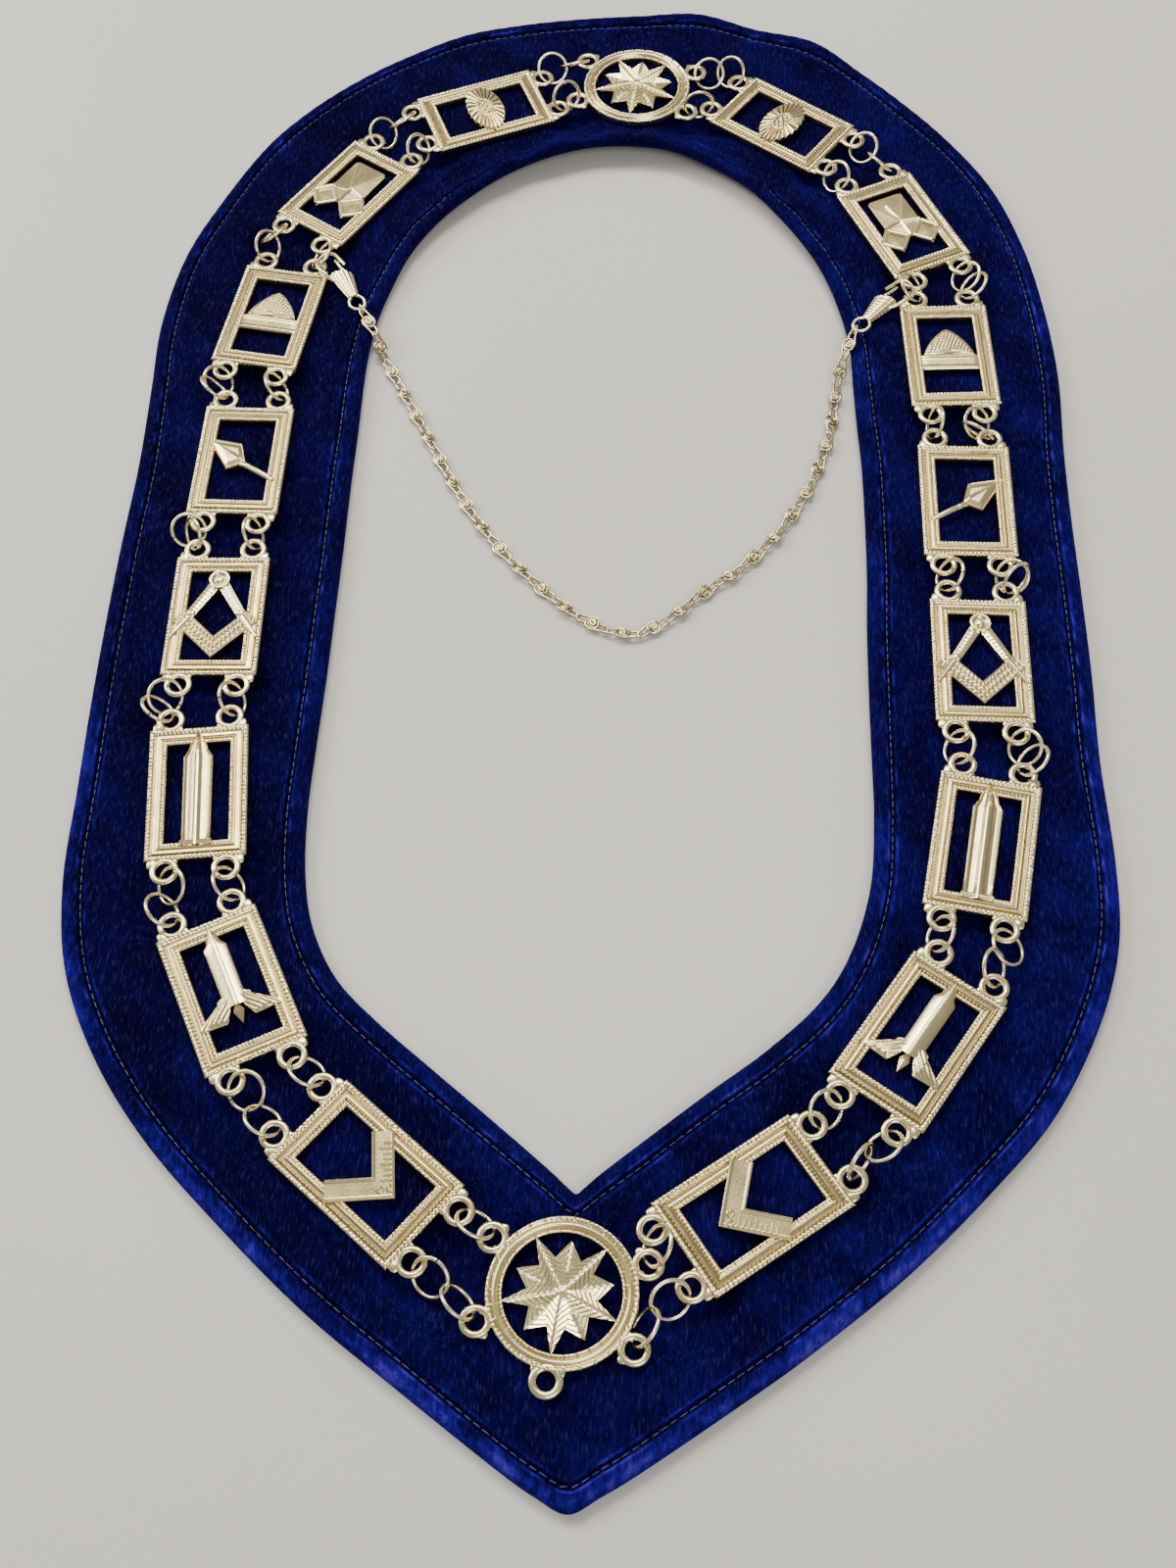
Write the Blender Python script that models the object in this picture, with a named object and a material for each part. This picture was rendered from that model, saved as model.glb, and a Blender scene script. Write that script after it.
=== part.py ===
"""Masonic chain collar lying flat: a padded velvet loop with a V at the front, eighteen cast
silver-tone links joined by jump rings, and a fine throat chain with a wire clip at each end.

All lengths below are millimetres in the collar's own frame: x to the right, y towards the back
of the neck, z up from the surface it lies on, and x = y = 0 in the middle of its outline.
"""

import math

import bmesh
import bpy
import numpy as np
from mathutils import Vector

MM = 0.001

# Finishes: colour, metallic, roughness
SILVER = ((0.72, 0.68, 0.58), 1.0, 0.32)
BRIGHT = ((0.76, 0.73, 0.65), 1.0, 0.24)
VELVET = ((0.01, 0.012, 0.22), 0.0, 0.9)

# Heights above the surface
VELVET_TOP = 4.6
PLATE_BASE = 5.0
EYE_BOTTOM = PLATE_BASE + 0.85
EYE_THICK = 0.9
EYE_PLANE = EYE_BOTTOM + EYE_THICK / 2.0

# Cast links
PLATE_LENGTH = 40.0
PLATE_WIDTH = 26.9
EYE_ACROSS = 8.0
EYE_BEYOND = 3.0
EYE_RADIUS = 3.9
EYE_HOLE = 2.2
MEDAL_RADIUS = 17.8
MEDAL_INSIDE = 13.8
RIM_SIDES = 16
MEDAL_TURN = -7.0
MEDAL_EYE_OUT = 20.8
MEDAL_EYE_ANGLE = 28.0
LOOP_OUT = 20.0
LOOP_RADIUS = 4.2
LOOP_HOLE = 2.1
STAR_REACH = 14.3
STAR_VALLEY = 5.2
BACK_STAR_REACH = 11.8
BACK_STAR_VALLEY = 7.4

# Jump rings
RING_RADIUS = 4.8
RING_WIRE = 0.5
RING_SIDES = 10
WIRE_SIDES = 5

# Velvet
EDGE_ROLL = 7.5
EDGE_HIGH = 5.0
GROOVE_DEEP = 0.7
LIFT_REACH = 11.0
DIMPLE_DEEP = 2.9
DIMPLE_HALF = 6.0
DIMPLE_SIDE = 14.5

# Throat chain
CHAIN_RADIUS = 1.1
CHAIN_POINTS = 43

# Clips: wire radii, height of the loop's wire and how much the sleeve climbs per millimetre
CLIP_WIRE = 0.55
TONGUE_WIRE = 0.5
TONGUE_HEEL = 0.5
CLIP_LOW = 6.4
CLIP_CLIMB = 0.08

# Frame moulding of a plate: distance in from its outer edge, height
FRAME_PROFILE = (
    (0.0, 0.0),
    (0.0, 2.0),
    (1.8, 1.5),
    (2.9, 2.6),
    (5.1, 1.5),
    (5.1, 0.0),
)

# Rim moulding of a medallion: radius, height
RIM_PROFILE = (
    (MEDAL_RADIUS, 0.0),
    (MEDAL_RADIUS, 1.9),
    (16.9, 2.3),
    (15.9, 1.6),
    (14.9, 2.6),
    (MEDAL_INSIDE, 1.6),
    (MEDAL_INSIDE, 0.0),
)

# Cast links from the back of the neck down each side: name, x, y, heading of their long axis
LEFT_PLATES = (
    ("sunburst", -46.5, 193.3, 23.5),
    ("three_squares", -87.8, 153.1, 58.0),
    ("beehive", -105.4, 97.9, 82.5),
    ("trowel", -106.1, 41.3, 90.5),
    ("square_compasses", -104.8, -14.4, 92.5),
    ("pillar", -100.9, -71.0, 97.5),
    ("winged_shaft", -83.4, -126.7, 117.5),
    ("builders_square", -44.2, -171.8, 141.5),
)
RIGHT_PLATES = (
    ("sunburst", 52.3, 190.2, 145.5),
    ("three_squares", 91.0, 145.3, 117.0),
    ("beehive", 103.6, 90.9, 94.0),
    ("trowel", 106.5, 35.4, 91.0),
    ("square_compasses", 108.0, -19.7, 90.5),
    ("pillar", 105.7, -77.0, 81.0),
    ("winged_shaft", 87.3, -131.8, 57.0),
    ("builders_square", 47.5, -174.8, 36.3),
)
TOP_MEDAL = (3.5, 207.0)
BOTTOM_MEDAL = (4.2, -197.6)

# Jump rings gap by gap from the back of the neck: the inner ring's roll and rise above its eyes,
# then the outer pair's heading, tilt, grip and roll, and how far both are pulled from their eyes
LEFT_GAPS = (
    (70, 0.0, 78, 43, 145, 48, 0.0),
    (60, 0.6, 89, 43, 172, 51, 0.0),
    (140, 0.0, 68, 43, 123, 58, 0.0),
    (55, 0.8, 64, 138, 115, 50, 0.0),
    (65, 0.4, 41, -33, 115, 117, 0.0),
    (55, 0.8, 54, 137, 143, 44, 0.0),
    (45, 0.2, 105, 137, 207, 44, 0.0),
    (40, 0.0, 108, 147, 205, 40, 0.0),
    (45, 0.2, 94, 136, 168, 54, 1.0),
)
RIGHT_GAPS = (
    (85, 0.0, 77, 137, 141, 51, 0.0),
    (50, 0.2, 86, -43, 176, 131, 0.0),
    (120, 0.0, 78, 138, 122, 43, 0.0),
    (70, 0.0, 127, 137, 147, 117, 0.0),
    (50, 0.0, 56, 136, 112, 104, 0.0),
    (45, 0.2, 69, 137, 125, 44, 0.0),
    (55, 0.8, 72, 33, 115, 129, 0.0),
    (135, 0.2, 90, -137, 169, 103, 0.0),
    (50, 0.0, 109, -44, 181, 55, 0.8),
)

# Velvet sections down each side: outer edge x, y, inner edge x, y, lift of outer and inner edge
LEFT_SECTIONS = (
    (3.0, 244.5, 2.5, 178.0, 1.5, 6.0),
    (-17.8, 242.7, -11.6, 176.5, 1.0, 6.0),
    (-37.8, 239.5, -25.1, 171.5, 0.5, 5.5),
    (-57.1, 233.5, -37.7, 164.0, 0.5, 4.5),
    (-76.5, 222.0, -48.7, 154.0, 0.0, 3.5),
    (-92.5, 209.0, -58.2, 142.5, 0.0, 2.5),
    (-107.0, 193.5, -65.4, 129.5, 0.0, 1.5),
    (-119.0, 175.5, -70.0, 115.0, 0.0, 0.5),
    (-130.5, 148.0, -73.0, 101.0, 0.0, 0.0),
    (-137.5, 125.0, -74.0, 87.5, 0.0, 0.0),
    (-140.4, 97.0, -74.1, 75.3, 0.0, 0.0),
    (-139.0, 70.0, -73.6, 55.0, 0.0, 0.0),
    (-137.6, 41.0, -73.4, 38.6, 0.0, 0.0),
    (-137.5, 13.0, -72.7, 11.0, 0.0, 0.0),
    (-137.0, -14.0, -72.4, -8.0, 0.0, 0.0),
    (-136.0, -42.0, -72.0, -31.9, 0.0, 0.0),
    (-134.5, -70.0, -72.0, -51.5, 0.0, 0.0),
    (-133.0, -97.0, -71.7, -73.0, 0.0, 0.0),
    (-127.5, -122.0, -69.8, -92.2, 0.0, 0.0),
    (-116.0, -144.5, -65.8, -107.3, 0.0, 0.0),
    (-99.4, -165.5, -58.0, -121.0, 0.0, 0.0),
    (-78.0, -185.5, -46.5, -132.0, 0.0, 0.0),
    (-55.2, -204.4, -31.5, -143.8, 0.0, 0.0),
    (-31.0, -221.0, -15.5, -156.2, 0.0, 0.0),
    (-8.0, -236.3, -1.5, -167.3, 0.0, 0.0),
)
RIGHT_SECTIONS = (
    (23.5, 245.0, 16.6, 176.0, 2.5, 6.0),
    (43.0, 239.5, 29.9, 169.5, 1.0, 5.0),
    (63.0, 231.5, 41.9, 160.5, 3.0, 4.5),
    (79.0, 219.5, 52.0, 148.5, 0.5, 3.5),
    (92.5, 203.5, 60.3, 136.5, 2.0, 2.5),
    (107.5, 187.0, 66.8, 123.5, 0.5, 1.5),
    (120.5, 165.0, 71.5, 108.5, 1.0, 0.5),
    (129.5, 140.0, 74.0, 95.0, 0.0, 0.0),
    (134.5, 113.0, 74.8, 80.0, 0.0, 0.0),
    (136.9, 86.0, 75.6, 66.0, 0.0, 0.0),
    (136.6, 58.0, 76.8, 50.0, 0.0, 0.0),
    (137.0, 33.0, 77.4, 32.0, 0.0, 0.0),
    (137.9, 8.0, 77.7, 11.0, 0.0, 0.0),
    (138.7, -20.0, 77.4, -9.0, 0.0, 0.0),
    (138.8, -48.0, 77.6, -32.4, 0.0, 0.0),
    (140.4, -80.0, 78.0, -52.4, 0.0, 0.0),
    (139.2, -103.0, 78.2, -68.0, 0.0, 0.0),
    (132.5, -125.0, 77.0, -88.0, 0.0, 0.0),
    (120.5, -148.0, 72.0, -106.5, 0.0, 0.0),
    (105.1, -166.7, 64.0, -121.0, 0.0, 0.0),
    (84.0, -188.5, 51.0, -134.5, 0.0, 0.0),
    (61.1, -207.9, 36.5, -146.5, 0.0, 0.0),
    (43.4, -221.2, 21.5, -159.3, 0.0, 0.0),
    (24.0, -235.1, 11.5, -168.0, 0.0, 0.0),
)
TIP_SECTIONS = (
    (15.5, -240.6, 7.6, -171.8, 0.0, 0.0),
    (8.3, -244.6, 6.0, -173.0, 0.0, 0.0),
    (1.0, -241.6, 4.0, -172.0, 0.0, 0.0),
)

# Spots over the velvet where its front point needs more sections: x, y, how far it is pressed
TIP_SPOTS = ((-4.8, -202.0, 0.0), (7.2, -209.0, 0.0), (17.7, -201.5, DIMPLE_DEEP))

# Throat chain from the left clip round to the right one: x, y, height of its middle
CHAIN_ROUTE = (
    (-78.7, 104.9, 8.7),
    (-77.3, 101.4, 8.6),
    (-75.3, 97.8, 7.4),
    (-71.3, 92.0, 5.0),
    (-69.0, 86.5, 1.5),
    (-66.5, 82.0, 1.15),
    (-61.8, 73.5, 1.15),
    (-56.0, 62.8, 1.15),
    (-50.7, 52.8, 1.15),
    (-45.2, 42.4, 1.15),
    (-39.5, 32.4, 1.15),
    (-33.0, 22.8, 1.15),
    (-25.8, 13.6, 1.15),
    (-17.9, 5.5, 1.15),
    (-9.2, -2.6, 1.15),
    (-0.2, -9.0, 1.15),
    (5.0, -11.3, 1.15),
    (11.3, -12.2, 1.15),
    (16.3, -11.6, 1.15),
    (20.8, -7.7, 1.15),
    (29.4, 1.1, 1.15),
    (38.1, 8.7, 1.15),
    (46.2, 16.4, 1.15),
    (53.1, 25.8, 1.15),
    (58.8, 36.0, 1.15),
    (63.5, 47.0, 1.15),
    (66.6, 57.8, 1.15),
    (68.6, 68.8, 1.15),
    (69.6, 79.5, 1.15),
    (70.4, 86.0, 1.5),
    (71.8, 90.5, 5.0),
    (73.2, 94.6, 7.2),
    (74.9, 98.9, 8.6),
    (76.8, 102.1, 8.7),
)

# Clips: middle of the end of the chain's loop, and the direction in which the hook points
CLIP_PLACES = {
    "left": ((-77.8, 102.4), (-89.9, 123.0)),
    "right": ((75.3, 99.8), (90.3, 118.0)),
}

# Sleeve sections: v, half width, half thickness, slant
CLIP_SLEEVE = (
    (5.0, 1.5, 0.9, 0.0),
    (10.0, 2.6, 1.2, 0.1),
    (15.2, 3.5, 1.45, 0.3),
)

# Loop at the chain's end: u, v
CLIP_LOOP = (
    (-0.8, 5.8),
    (-1.9, 4.6),
    (-2.4, 3.0),
    (-1.9, 1.3),
    (-0.7, 0.4),
    (0.7, 0.4),
    (1.9, 1.3),
    (2.4, 3.0),
    (1.9, 4.6),
    (0.8, 5.8),
)

# Bent wire of the hook from inside the sleeve to its free end: u, v, height
CLIP_HOOK = (
    (-2.4, 13.0, 7.5),
    (-3.6, 14.8, 8.0),
    (-4.7, 17.1, 9.0),
    (-5.45, 20.2, 9.0),
    (-4.95, 22.2, 9.0),
    (-2.85, 24.0, 8.75),
    (-0.3, 24.7, 8.6),
    (1.4, 23.2, 8.6),
    (2.1, 20.6, 8.6),
    (2.6, 17.6, 8.6),
)

# Sprung gate from its hinge to its tip: u, v, height
TONGUE_ROUTE = (
    (1.6, 15.9, 7.75),
    (1.1, 18.5, 7.75),
    (0.8, 21.6, 7.8),
)

# Rings that the clips hold, third gap from the back: x, y, z, direction it leans from, tilt
CLIP_GAP = 3
CLIP_RINGS = {
    "left": (-92.75, 123.75, 7.1, 174.0, 48.0),
    "right": (92.95, 117.55, 7.25, -4.5, 44.5),
}


def clear_scene():
    """Remove every object that the file holds."""
    for thing in list(bpy.data.objects):
        bpy.data.objects.remove(thing, do_unlink=True)


def finish_material(name, finish):
    """A Principled material of one colour, named after the piece that wears it."""
    colour, metallic, roughness = finish
    material = bpy.data.materials.new(name)
    material.use_nodes = True
    shader = material.node_tree.nodes["Principled BSDF"]
    shader.inputs["Base Color"].default_value = (*colour, 1.0)
    shader.inputs["Metallic"].default_value = metallic
    shader.inputs["Roughness"].default_value = roughness
    return material


def make_mesh(name, points, faces):
    """A mesh from points in millimetres, its faces turned outwards."""
    mesh = bpy.data.meshes.new(name)
    mesh.from_pydata([Vector(point) * MM for point in points], [], faces)
    work = bmesh.new()
    work.from_mesh(mesh)
    bmesh.ops.recalc_face_normals(work, faces=work.faces)
    work.to_mesh(mesh)
    work.free()
    return mesh


def place(name, mesh, finish, x=0.0, y=0.0, z=0.0, turn=0.0):
    """Link a mesh as an object at its place, turned about the vertical."""
    thing = bpy.data.objects.new(name, mesh)
    thing.location = (x * MM, y * MM, z * MM)
    thing.rotation_euler = (0.0, 0.0, math.radians(turn))
    mesh.materials.clear()
    mesh.materials.append(finish_material(name, finish))
    mesh.shade_smooth()
    mesh.set_sharp_from_angle(angle=math.radians(35.0))
    bpy.context.scene.collection.objects.link(thing)
    return thing


def fuse(name, meshes):
    """Union of closed meshes that overlap, as one mesh."""
    scene = bpy.context.scene
    base = bpy.data.objects.new(name + "_base", meshes[0])
    scene.collection.objects.link(base)
    helpers = []
    for number, mesh in enumerate(meshes[1:]):
        helper = bpy.data.objects.new(f"{name}_helper_{number}", mesh)
        scene.collection.objects.link(helper)
        union = base.modifiers.new(f"union_{number}", "BOOLEAN")
        union.operation = "UNION"
        union.solver = "EXACT"
        union.object = helper
        helpers.append(helper)
    bpy.context.view_layer.update()
    graph = bpy.context.evaluated_depsgraph_get()
    fused = bpy.data.meshes.new_from_object(base.evaluated_get(graph))
    fused.name = name
    for thing in [base] + helpers:
        bpy.data.objects.remove(thing, do_unlink=True)
    tidy = bmesh.new()
    tidy.from_mesh(fused)
    flat = math.radians(0.6)
    bmesh.ops.dissolve_limit(tidy, angle_limit=flat, verts=tidy.verts, edges=tidy.edges)
    tidy.to_mesh(fused)
    tidy.free()
    return fused


def sweep_loop(name, sections):
    """Closed tube through a closed run of sections, each the same number of points."""
    count = len(sections)
    width = len(sections[0])
    points = [point for section in sections for point in section]
    faces = []
    for i in range(count):
        j = (i + 1) % count
        for k in range(width):
            m = (k + 1) % width
            faces.append((i * width + k, j * width + k, j * width + m, i * width + m))
    return make_mesh(name, points, faces)


def sweep_open(name, sections):
    """Closed solid through an open run of sections, capped at both ends."""
    count = len(sections)
    width = len(sections[0])
    points = [point for section in sections for point in section]
    faces = [tuple(range(width)), tuple(range((count - 1) * width, count * width))]
    for i in range(count - 1):
        for k in range(width):
            m = (k + 1) % width
            faces.append((i * width + k, (i + 1) * width + k, (i + 1) * width + m, i * width + m))
    return make_mesh(name, points, faces)


def prism(name, outline, low, high):
    """Upright prism over an outline."""
    return sweep_open(name, [[(u, v, z) for u, v in outline] for z in (low, high)])


def peaked(name, outline, low, rim, peak):
    """Raised facet relief: an outline's walls, with its top rising to one point."""
    count = len(outline)
    points = [(u, v, low) for u, v in outline] + [(u, v, rim) for u, v in outline] + [peak]
    faces = [tuple(range(count))]
    for k in range(count):
        m = (k + 1) % count
        faces.append((k, m, count + m, count + k))
        faces.append((count + k, count + m, 2 * count))
    return make_mesh(name, points, faces)


def ridged_bar(name, start, end, width, low, rim, ridge):
    """Straight bar with a gabled top from start to end."""
    start = Vector(start)
    end = Vector(end)
    side = (end - start).normalized().orthogonal() * width / 2.0
    sections = []
    for place_on in (start, end):
        left = place_on + side
        right = place_on - side
        sections.append([
            (left.x, left.y, low),
            (left.x, left.y, rim),
            (place_on.x, place_on.y, ridge),
            (right.x, right.y, rim),
            (right.x, right.y, low),
        ])
    return sweep_open(name, sections)


def disc_outline(x, y, radius, sides, squash=1.0):
    """Points round a circle or, with squash, an oval."""
    angles = [2.0 * math.pi * k / sides for k in range(sides)]
    return [(x + radius * math.cos(a), y + radius * squash * math.sin(a)) for a in angles]


def star_outline(reach, valley, first):
    """Ten points of a five-pointed star, in degrees from its first tip."""
    points = []
    for k in range(10):
        radius = reach if k % 2 == 0 else valley
        angle = math.radians(first + 36.0 * k)
        points.append((radius * math.cos(angle), radius * math.sin(angle)))
    return points


def washer(name, x, y, outline, hole, hole_sides=6):
    """Flat eye: an outline with a round hole through it."""
    low = EYE_BOTTOM - PLATE_BASE
    high = low + EYE_THICK
    body = prism(name, outline, low, high)
    reach = hole / math.cos(math.pi / hole_sides)
    drill = prism(name + "_hole", disc_outline(x, y, reach, hole_sides), low - 1.0, high + 1.0)
    scene = bpy.context.scene
    solid = bpy.data.objects.new(name, body)
    cutter = bpy.data.objects.new(name + "_cutter", drill)
    scene.collection.objects.link(solid)
    scene.collection.objects.link(cutter)
    cut = solid.modifiers.new("hole", "BOOLEAN")
    cut.operation = "DIFFERENCE"
    cut.solver = "EXACT"
    cut.object = cutter
    bpy.context.view_layer.update()
    graph = bpy.context.evaluated_depsgraph_get()
    mesh = bpy.data.meshes.new_from_object(solid.evaluated_get(graph))
    bpy.data.objects.remove(solid, do_unlink=True)
    bpy.data.objects.remove(cutter, do_unlink=True)
    return mesh


def plate_frame():
    """Mitred picture-frame moulding round a plate's window."""
    sections = []
    for side_u, side_v in ((1, 1), (-1, 1), (-1, -1), (1, -1)):
        section = []
        for inset, height in FRAME_PROFILE:
            u = side_u * (PLATE_WIDTH / 2.0 - inset)
            v = side_v * (PLATE_LENGTH / 2.0 - inset)
            section.append((u, v, height))
        sections.append(section)
    return sweep_loop("frame", sections)


def corner_eye(side_u, side_v):
    """Eye at a corner of a plate, with the small lobe that joins it to the corner."""
    u = EYE_ACROSS
    v = PLATE_LENGTH / 2.0 + EYE_BEYOND
    outline = [(u - EYE_RADIUS, v - EYE_BEYOND - 0.7)]
    for angle in (157.0, 85.0):
        a = math.radians(angle)
        outline.append((u + EYE_RADIUS * math.cos(a), v + EYE_RADIUS * math.sin(a)))
    outline.append((u + 4.7, v - 0.2))
    outline.append((u + 4.7, v - EYE_BEYOND - 0.7))
    outline = [(side_u * a, side_v * b) for a, b in outline]
    return washer("eye", side_u * u, side_v * v, outline, EYE_HOLE)


def sunburst(side):
    """Oval boss rising to its middle."""
    return [peaked("sun", disc_outline(0.0, 0.0, 10.0, 12, 0.58), 0.4, 1.9, (0.0, 0.0, 3.2))]


def three_squares(side):
    """Large square over two small ones set corner to corner."""
    large = [(-6.2, -0.4), (6.2, -0.4), (6.2, 12.8), (0.0, 13.4), (-6.2, 12.8)]
    solids = [peaked("large", large, 0.4, 1.8, (0.0, 2.0, 3.0))]
    for way, low in ((-1.0, 0.55), (1.0, 0.7)):
        small = [(way * -0.5, -4.2), (way * 6.0, 0.5), (way * 10.7, -5.2), (way * 5.0, -10.4)]
        solids.append(peaked("small", small, low, 1.2 + low, (way * 5.2, -4.8, 2.0 + low)))
    return solids


def beehive(side):
    """Domed hive on a bench that spans the window."""
    outline = [(-9.0, -5.6), (9.0, -5.6), (9.0, 0.0)]
    for k in range(1, 8):
        angle = math.pi * k / 8.0
        outline.append((8.2 * math.cos(angle), 10.4 * math.sin(angle) ** 0.8))
    outline.append((-9.0, 0.0))
    return [peaked("hive", outline, 0.4, 1.7, (0.0, 2.0, 3.2))]


def trowel(side):
    """Kite-shaped blade with its tip on the outer bar, the handle on the inner bar."""
    blade = [(-10.8, 7.6), (-0.4, 5.6), (1.5, -1.2), (-4.2, -3.8)]
    blade = [(side * u, v) for u, v in blade]
    solids = [peaked("blade", blade, 0.5, 1.8, (side * -2.4, 1.2, 3.0))]
    solids.append(ridged_bar("handle", (side * 0.4, -0.9), (side * 10.0, -7.4), 1.9, 0.5, 1.5, 2.2))
    return solids


def chevron(name, tip, width, reach, low, high):
    """V of two square-cut arms at right angles, its corner down at tip."""
    inner = tip + width * math.sqrt(2.0)
    step = width / math.sqrt(2.0)
    outline = [
        (0.0, tip),
        (reach + step, tip + reach + step),
        (reach, tip + reach + 2.0 * step),
        (0.0, inner),
        (-reach, tip + reach + 2.0 * step),
        (-reach - step, tip + reach + step),
    ]
    return prism(name, outline, low, high)


def square_compasses(side):
    """Square with its corner down, under a pair of compasses."""
    solids = [chevron("square", -14.2, 5.0, 8.6, 0.6, 2.1)]
    for way, low in ((-1.0, 0.9), (1.0, 1.05)):
        leg = ridged_bar("leg", (way * 0.6, 10.6), (way * 11.6, -7.0), 2.1, low, 1.4 + low, 2.1 + low)
        solids.append(leg)
    solids.append(prism("joint", disc_outline(0.0, 11.3, 2.8, 10), 0.6, 3.2))
    return solids


def gabled(name, outline, low, rim, top):
    """Upright relief symmetrical about u = 0: half widths at heights v, ridge along the middle."""
    sections = []
    for half, v in outline:
        sections.append([
            (-half, v, low),
            (-half, v, rim),
            (0.0, v, top),
            (half, v, rim),
            (half, v, low),
        ])
    return sweep_open(name, sections)


def pillar(side):
    """Tall fluted shaft with shoulders and a pointed cap, from bar to bar."""
    outline = ((4.1, -16.0), (4.1, 9.8), (2.9, 11.6), (2.4, 13.6), (1.1, 16.4), (0.3, 18.2))
    return [gabled("shaft", outline, 0.5, 1.9, 3.1)]


def winged_shaft(side):
    """Shaft with a pointed cap that spreads below into two wings."""
    outline = ((3.1, -4.5), (3.0, 12.4), (1.9, 13.4), (1.6, 15.2), (0.5, 17.4))
    solids = [gabled("shaft", outline, 0.5, 1.9, 3.0)]
    for way, low in ((-1.0, 0.6), (1.0, 0.75)):
        wing = [(way * 1.0, -1.7), (way * 3.7, -2.3), (way * 9.4, -7.4), (way * 9.4, -9.0)]
        wing += [(way * 3.4, -8.9), (way * 1.8, -6.2)]
        solids.append(peaked("wing", wing, low, 1.1 + low, (way * 3.6, -5.2, 2.0 + low)))
    drop = [(0.0, -3.4), (1.2, -6.7), (0.0, -10.2), (-1.2, -6.9)]
    solids.append(peaked("drop", drop, 0.4, 1.6, (0.0, -6.8, 2.5)))
    return solids


def builders_square(side):
    """Flat square with its corner towards the front."""
    return [chevron("square", -9.9, 5.4, 7.9, 0.6, 2.5)]


MOTIFS = {
    "sunburst": sunburst,
    "three_squares": three_squares,
    "beehive": beehive,
    "trowel": trowel,
    "square_compasses": square_compasses,
    "pillar": pillar,
    "winged_shaft": winged_shaft,
    "builders_square": builders_square,
}


def plate_mesh(name, motif, side):
    """One cast plate: frame, four eyes and its emblem in one body, long axis along +y."""
    solids = [plate_frame()]
    for side_u in (-1.0, 1.0):
        for side_v in (-1.0, 1.0):
            solids.append(corner_eye(side_u, side_v))
    solids += MOTIFS[motif](side)
    return fuse(name, solids)


def medallion_eyes():
    """Places of a medallion's four eyes in its own frame: left outer, left inner, right ..."""
    out = MEDAL_EYE_OUT * math.cos(math.radians(MEDAL_EYE_ANGLE))
    up = MEDAL_EYE_OUT * math.sin(math.radians(MEDAL_EYE_ANGLE))
    return out, up


def medallion_mesh(name, hanging_loop):
    """Moulded rim, two five-pointed stars one over the other, four eyes and the jewel loop."""
    sections = []
    for k in range(RIM_SIDES):
        angle = 2.0 * math.pi * k / RIM_SIDES
        ray = (math.cos(angle), math.sin(angle))
        sections.append([(r * ray[0], r * ray[1], z) for r, z in RIM_PROFILE])
    solids = [sweep_loop("rim", sections)]
    back = star_outline(BACK_STAR_REACH, BACK_STAR_VALLEY, 92.0)
    solids.append(peaked("back_star", back, 0.3, 1.3, (0.0, 0.0, 2.4)))
    front = star_outline(STAR_REACH, STAR_VALLEY, -90.0)
    solids.append(peaked("front_star", front, 0.6, 1.5, (0.0, 0.0, 3.6)))
    out, up = medallion_eyes()
    for x, y in ((-out, up), (-out, -up), (out, up), (out, -up)):
        solids.append(washer("eye", x, y, disc_outline(x, y, EYE_RADIUS, 8), EYE_HOLE))
    if hanging_loop:
        outline = disc_outline(0.0, -LOOP_OUT, LOOP_RADIUS, 9)
        solids.append(washer("loop", 0.0, -LOOP_OUT, outline, LOOP_HOLE, 8))
    return fuse(name, solids)


def turned(x, y, degrees):
    """A point turned about the vertical."""
    a = math.radians(degrees)
    return x * math.cos(a) - y * math.sin(a), x * math.sin(a) + y * math.cos(a)


def plate_eye(plate, inner, down, side):
    """World place of one eye of a plate: its inner or outer column, its lower or upper end."""
    _, x, y, heading = plate
    across = EYE_ACROSS * (-side if inner else side)
    along = (PLATE_LENGTH / 2.0 + EYE_BEYOND) * (-1.0 if down else 1.0)
    du, dv = turned(across, along, heading - 90.0)
    return Vector((x + du, y + dv, EYE_PLANE))


def medal_eye(centre, side, high):
    """World place of one eye of a medallion."""
    out, up = medallion_eyes()
    dx, dy = turned(side * out, up if high else -up, MEDAL_TURN)
    return Vector((centre[0] + dx, centre[1] + dy, EYE_PLANE))


def spanning_ring(start, end, roll, side):
    """Centre and two unit axes of the ring whose circle passes through start and end.

    Roll is the direction in which the ring bulges away from the line between them: 0 is
    outwards over the velvet, 90 is straight up and 180 is towards the neck opening.
    """
    span = end - start
    along = span.normalized()
    outward = Vector((-along.y, along.x, 0.0)).normalized() * side
    lift = outward.cross(along) * -side
    bulge = math.cos(math.radians(roll)) * outward + math.sin(math.radians(roll)) * lift
    half = min(span.length / 2.0, RING_RADIUS)
    offset = math.sqrt(RING_RADIUS ** 2 - half ** 2)
    return (start + end) / 2.0 + bulge * offset, along, bulge


def hooked_rings(start, end, row, side):
    """Frames of two rings that hook each other: one hangs in the eye at start, one spans to end.

    Heading is where the first ring's middle lies, 0 for outwards and 90 for straight along the
    gap; tilt turns its plane about that line; grip is how far round it the second ring holds it.
    """
    heading, tilt, grip, roll = (math.radians(value) for value in row)
    along = (end - start).normalized()
    outward = Vector((-along.y, along.x, 0.0)) * side
    up = Vector((0.0, 0.0, 1.0))
    away = math.cos(heading) * outward + math.sin(heading) * along
    level = up.cross(away)
    if level.dot(along) < 0.0:
        level = -level
    rising = math.cos(tilt) * level + math.sin(tilt) * up
    centre = start + away * RING_RADIUS
    held = centre + RING_RADIUS * (math.sin(grip) * rising - math.cos(grip) * away)
    slack = (end - held).normalized() * RING_WIRE * 0.9
    return (centre, away, rising), spanning_ring(held - slack, end, math.degrees(roll), side)


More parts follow.
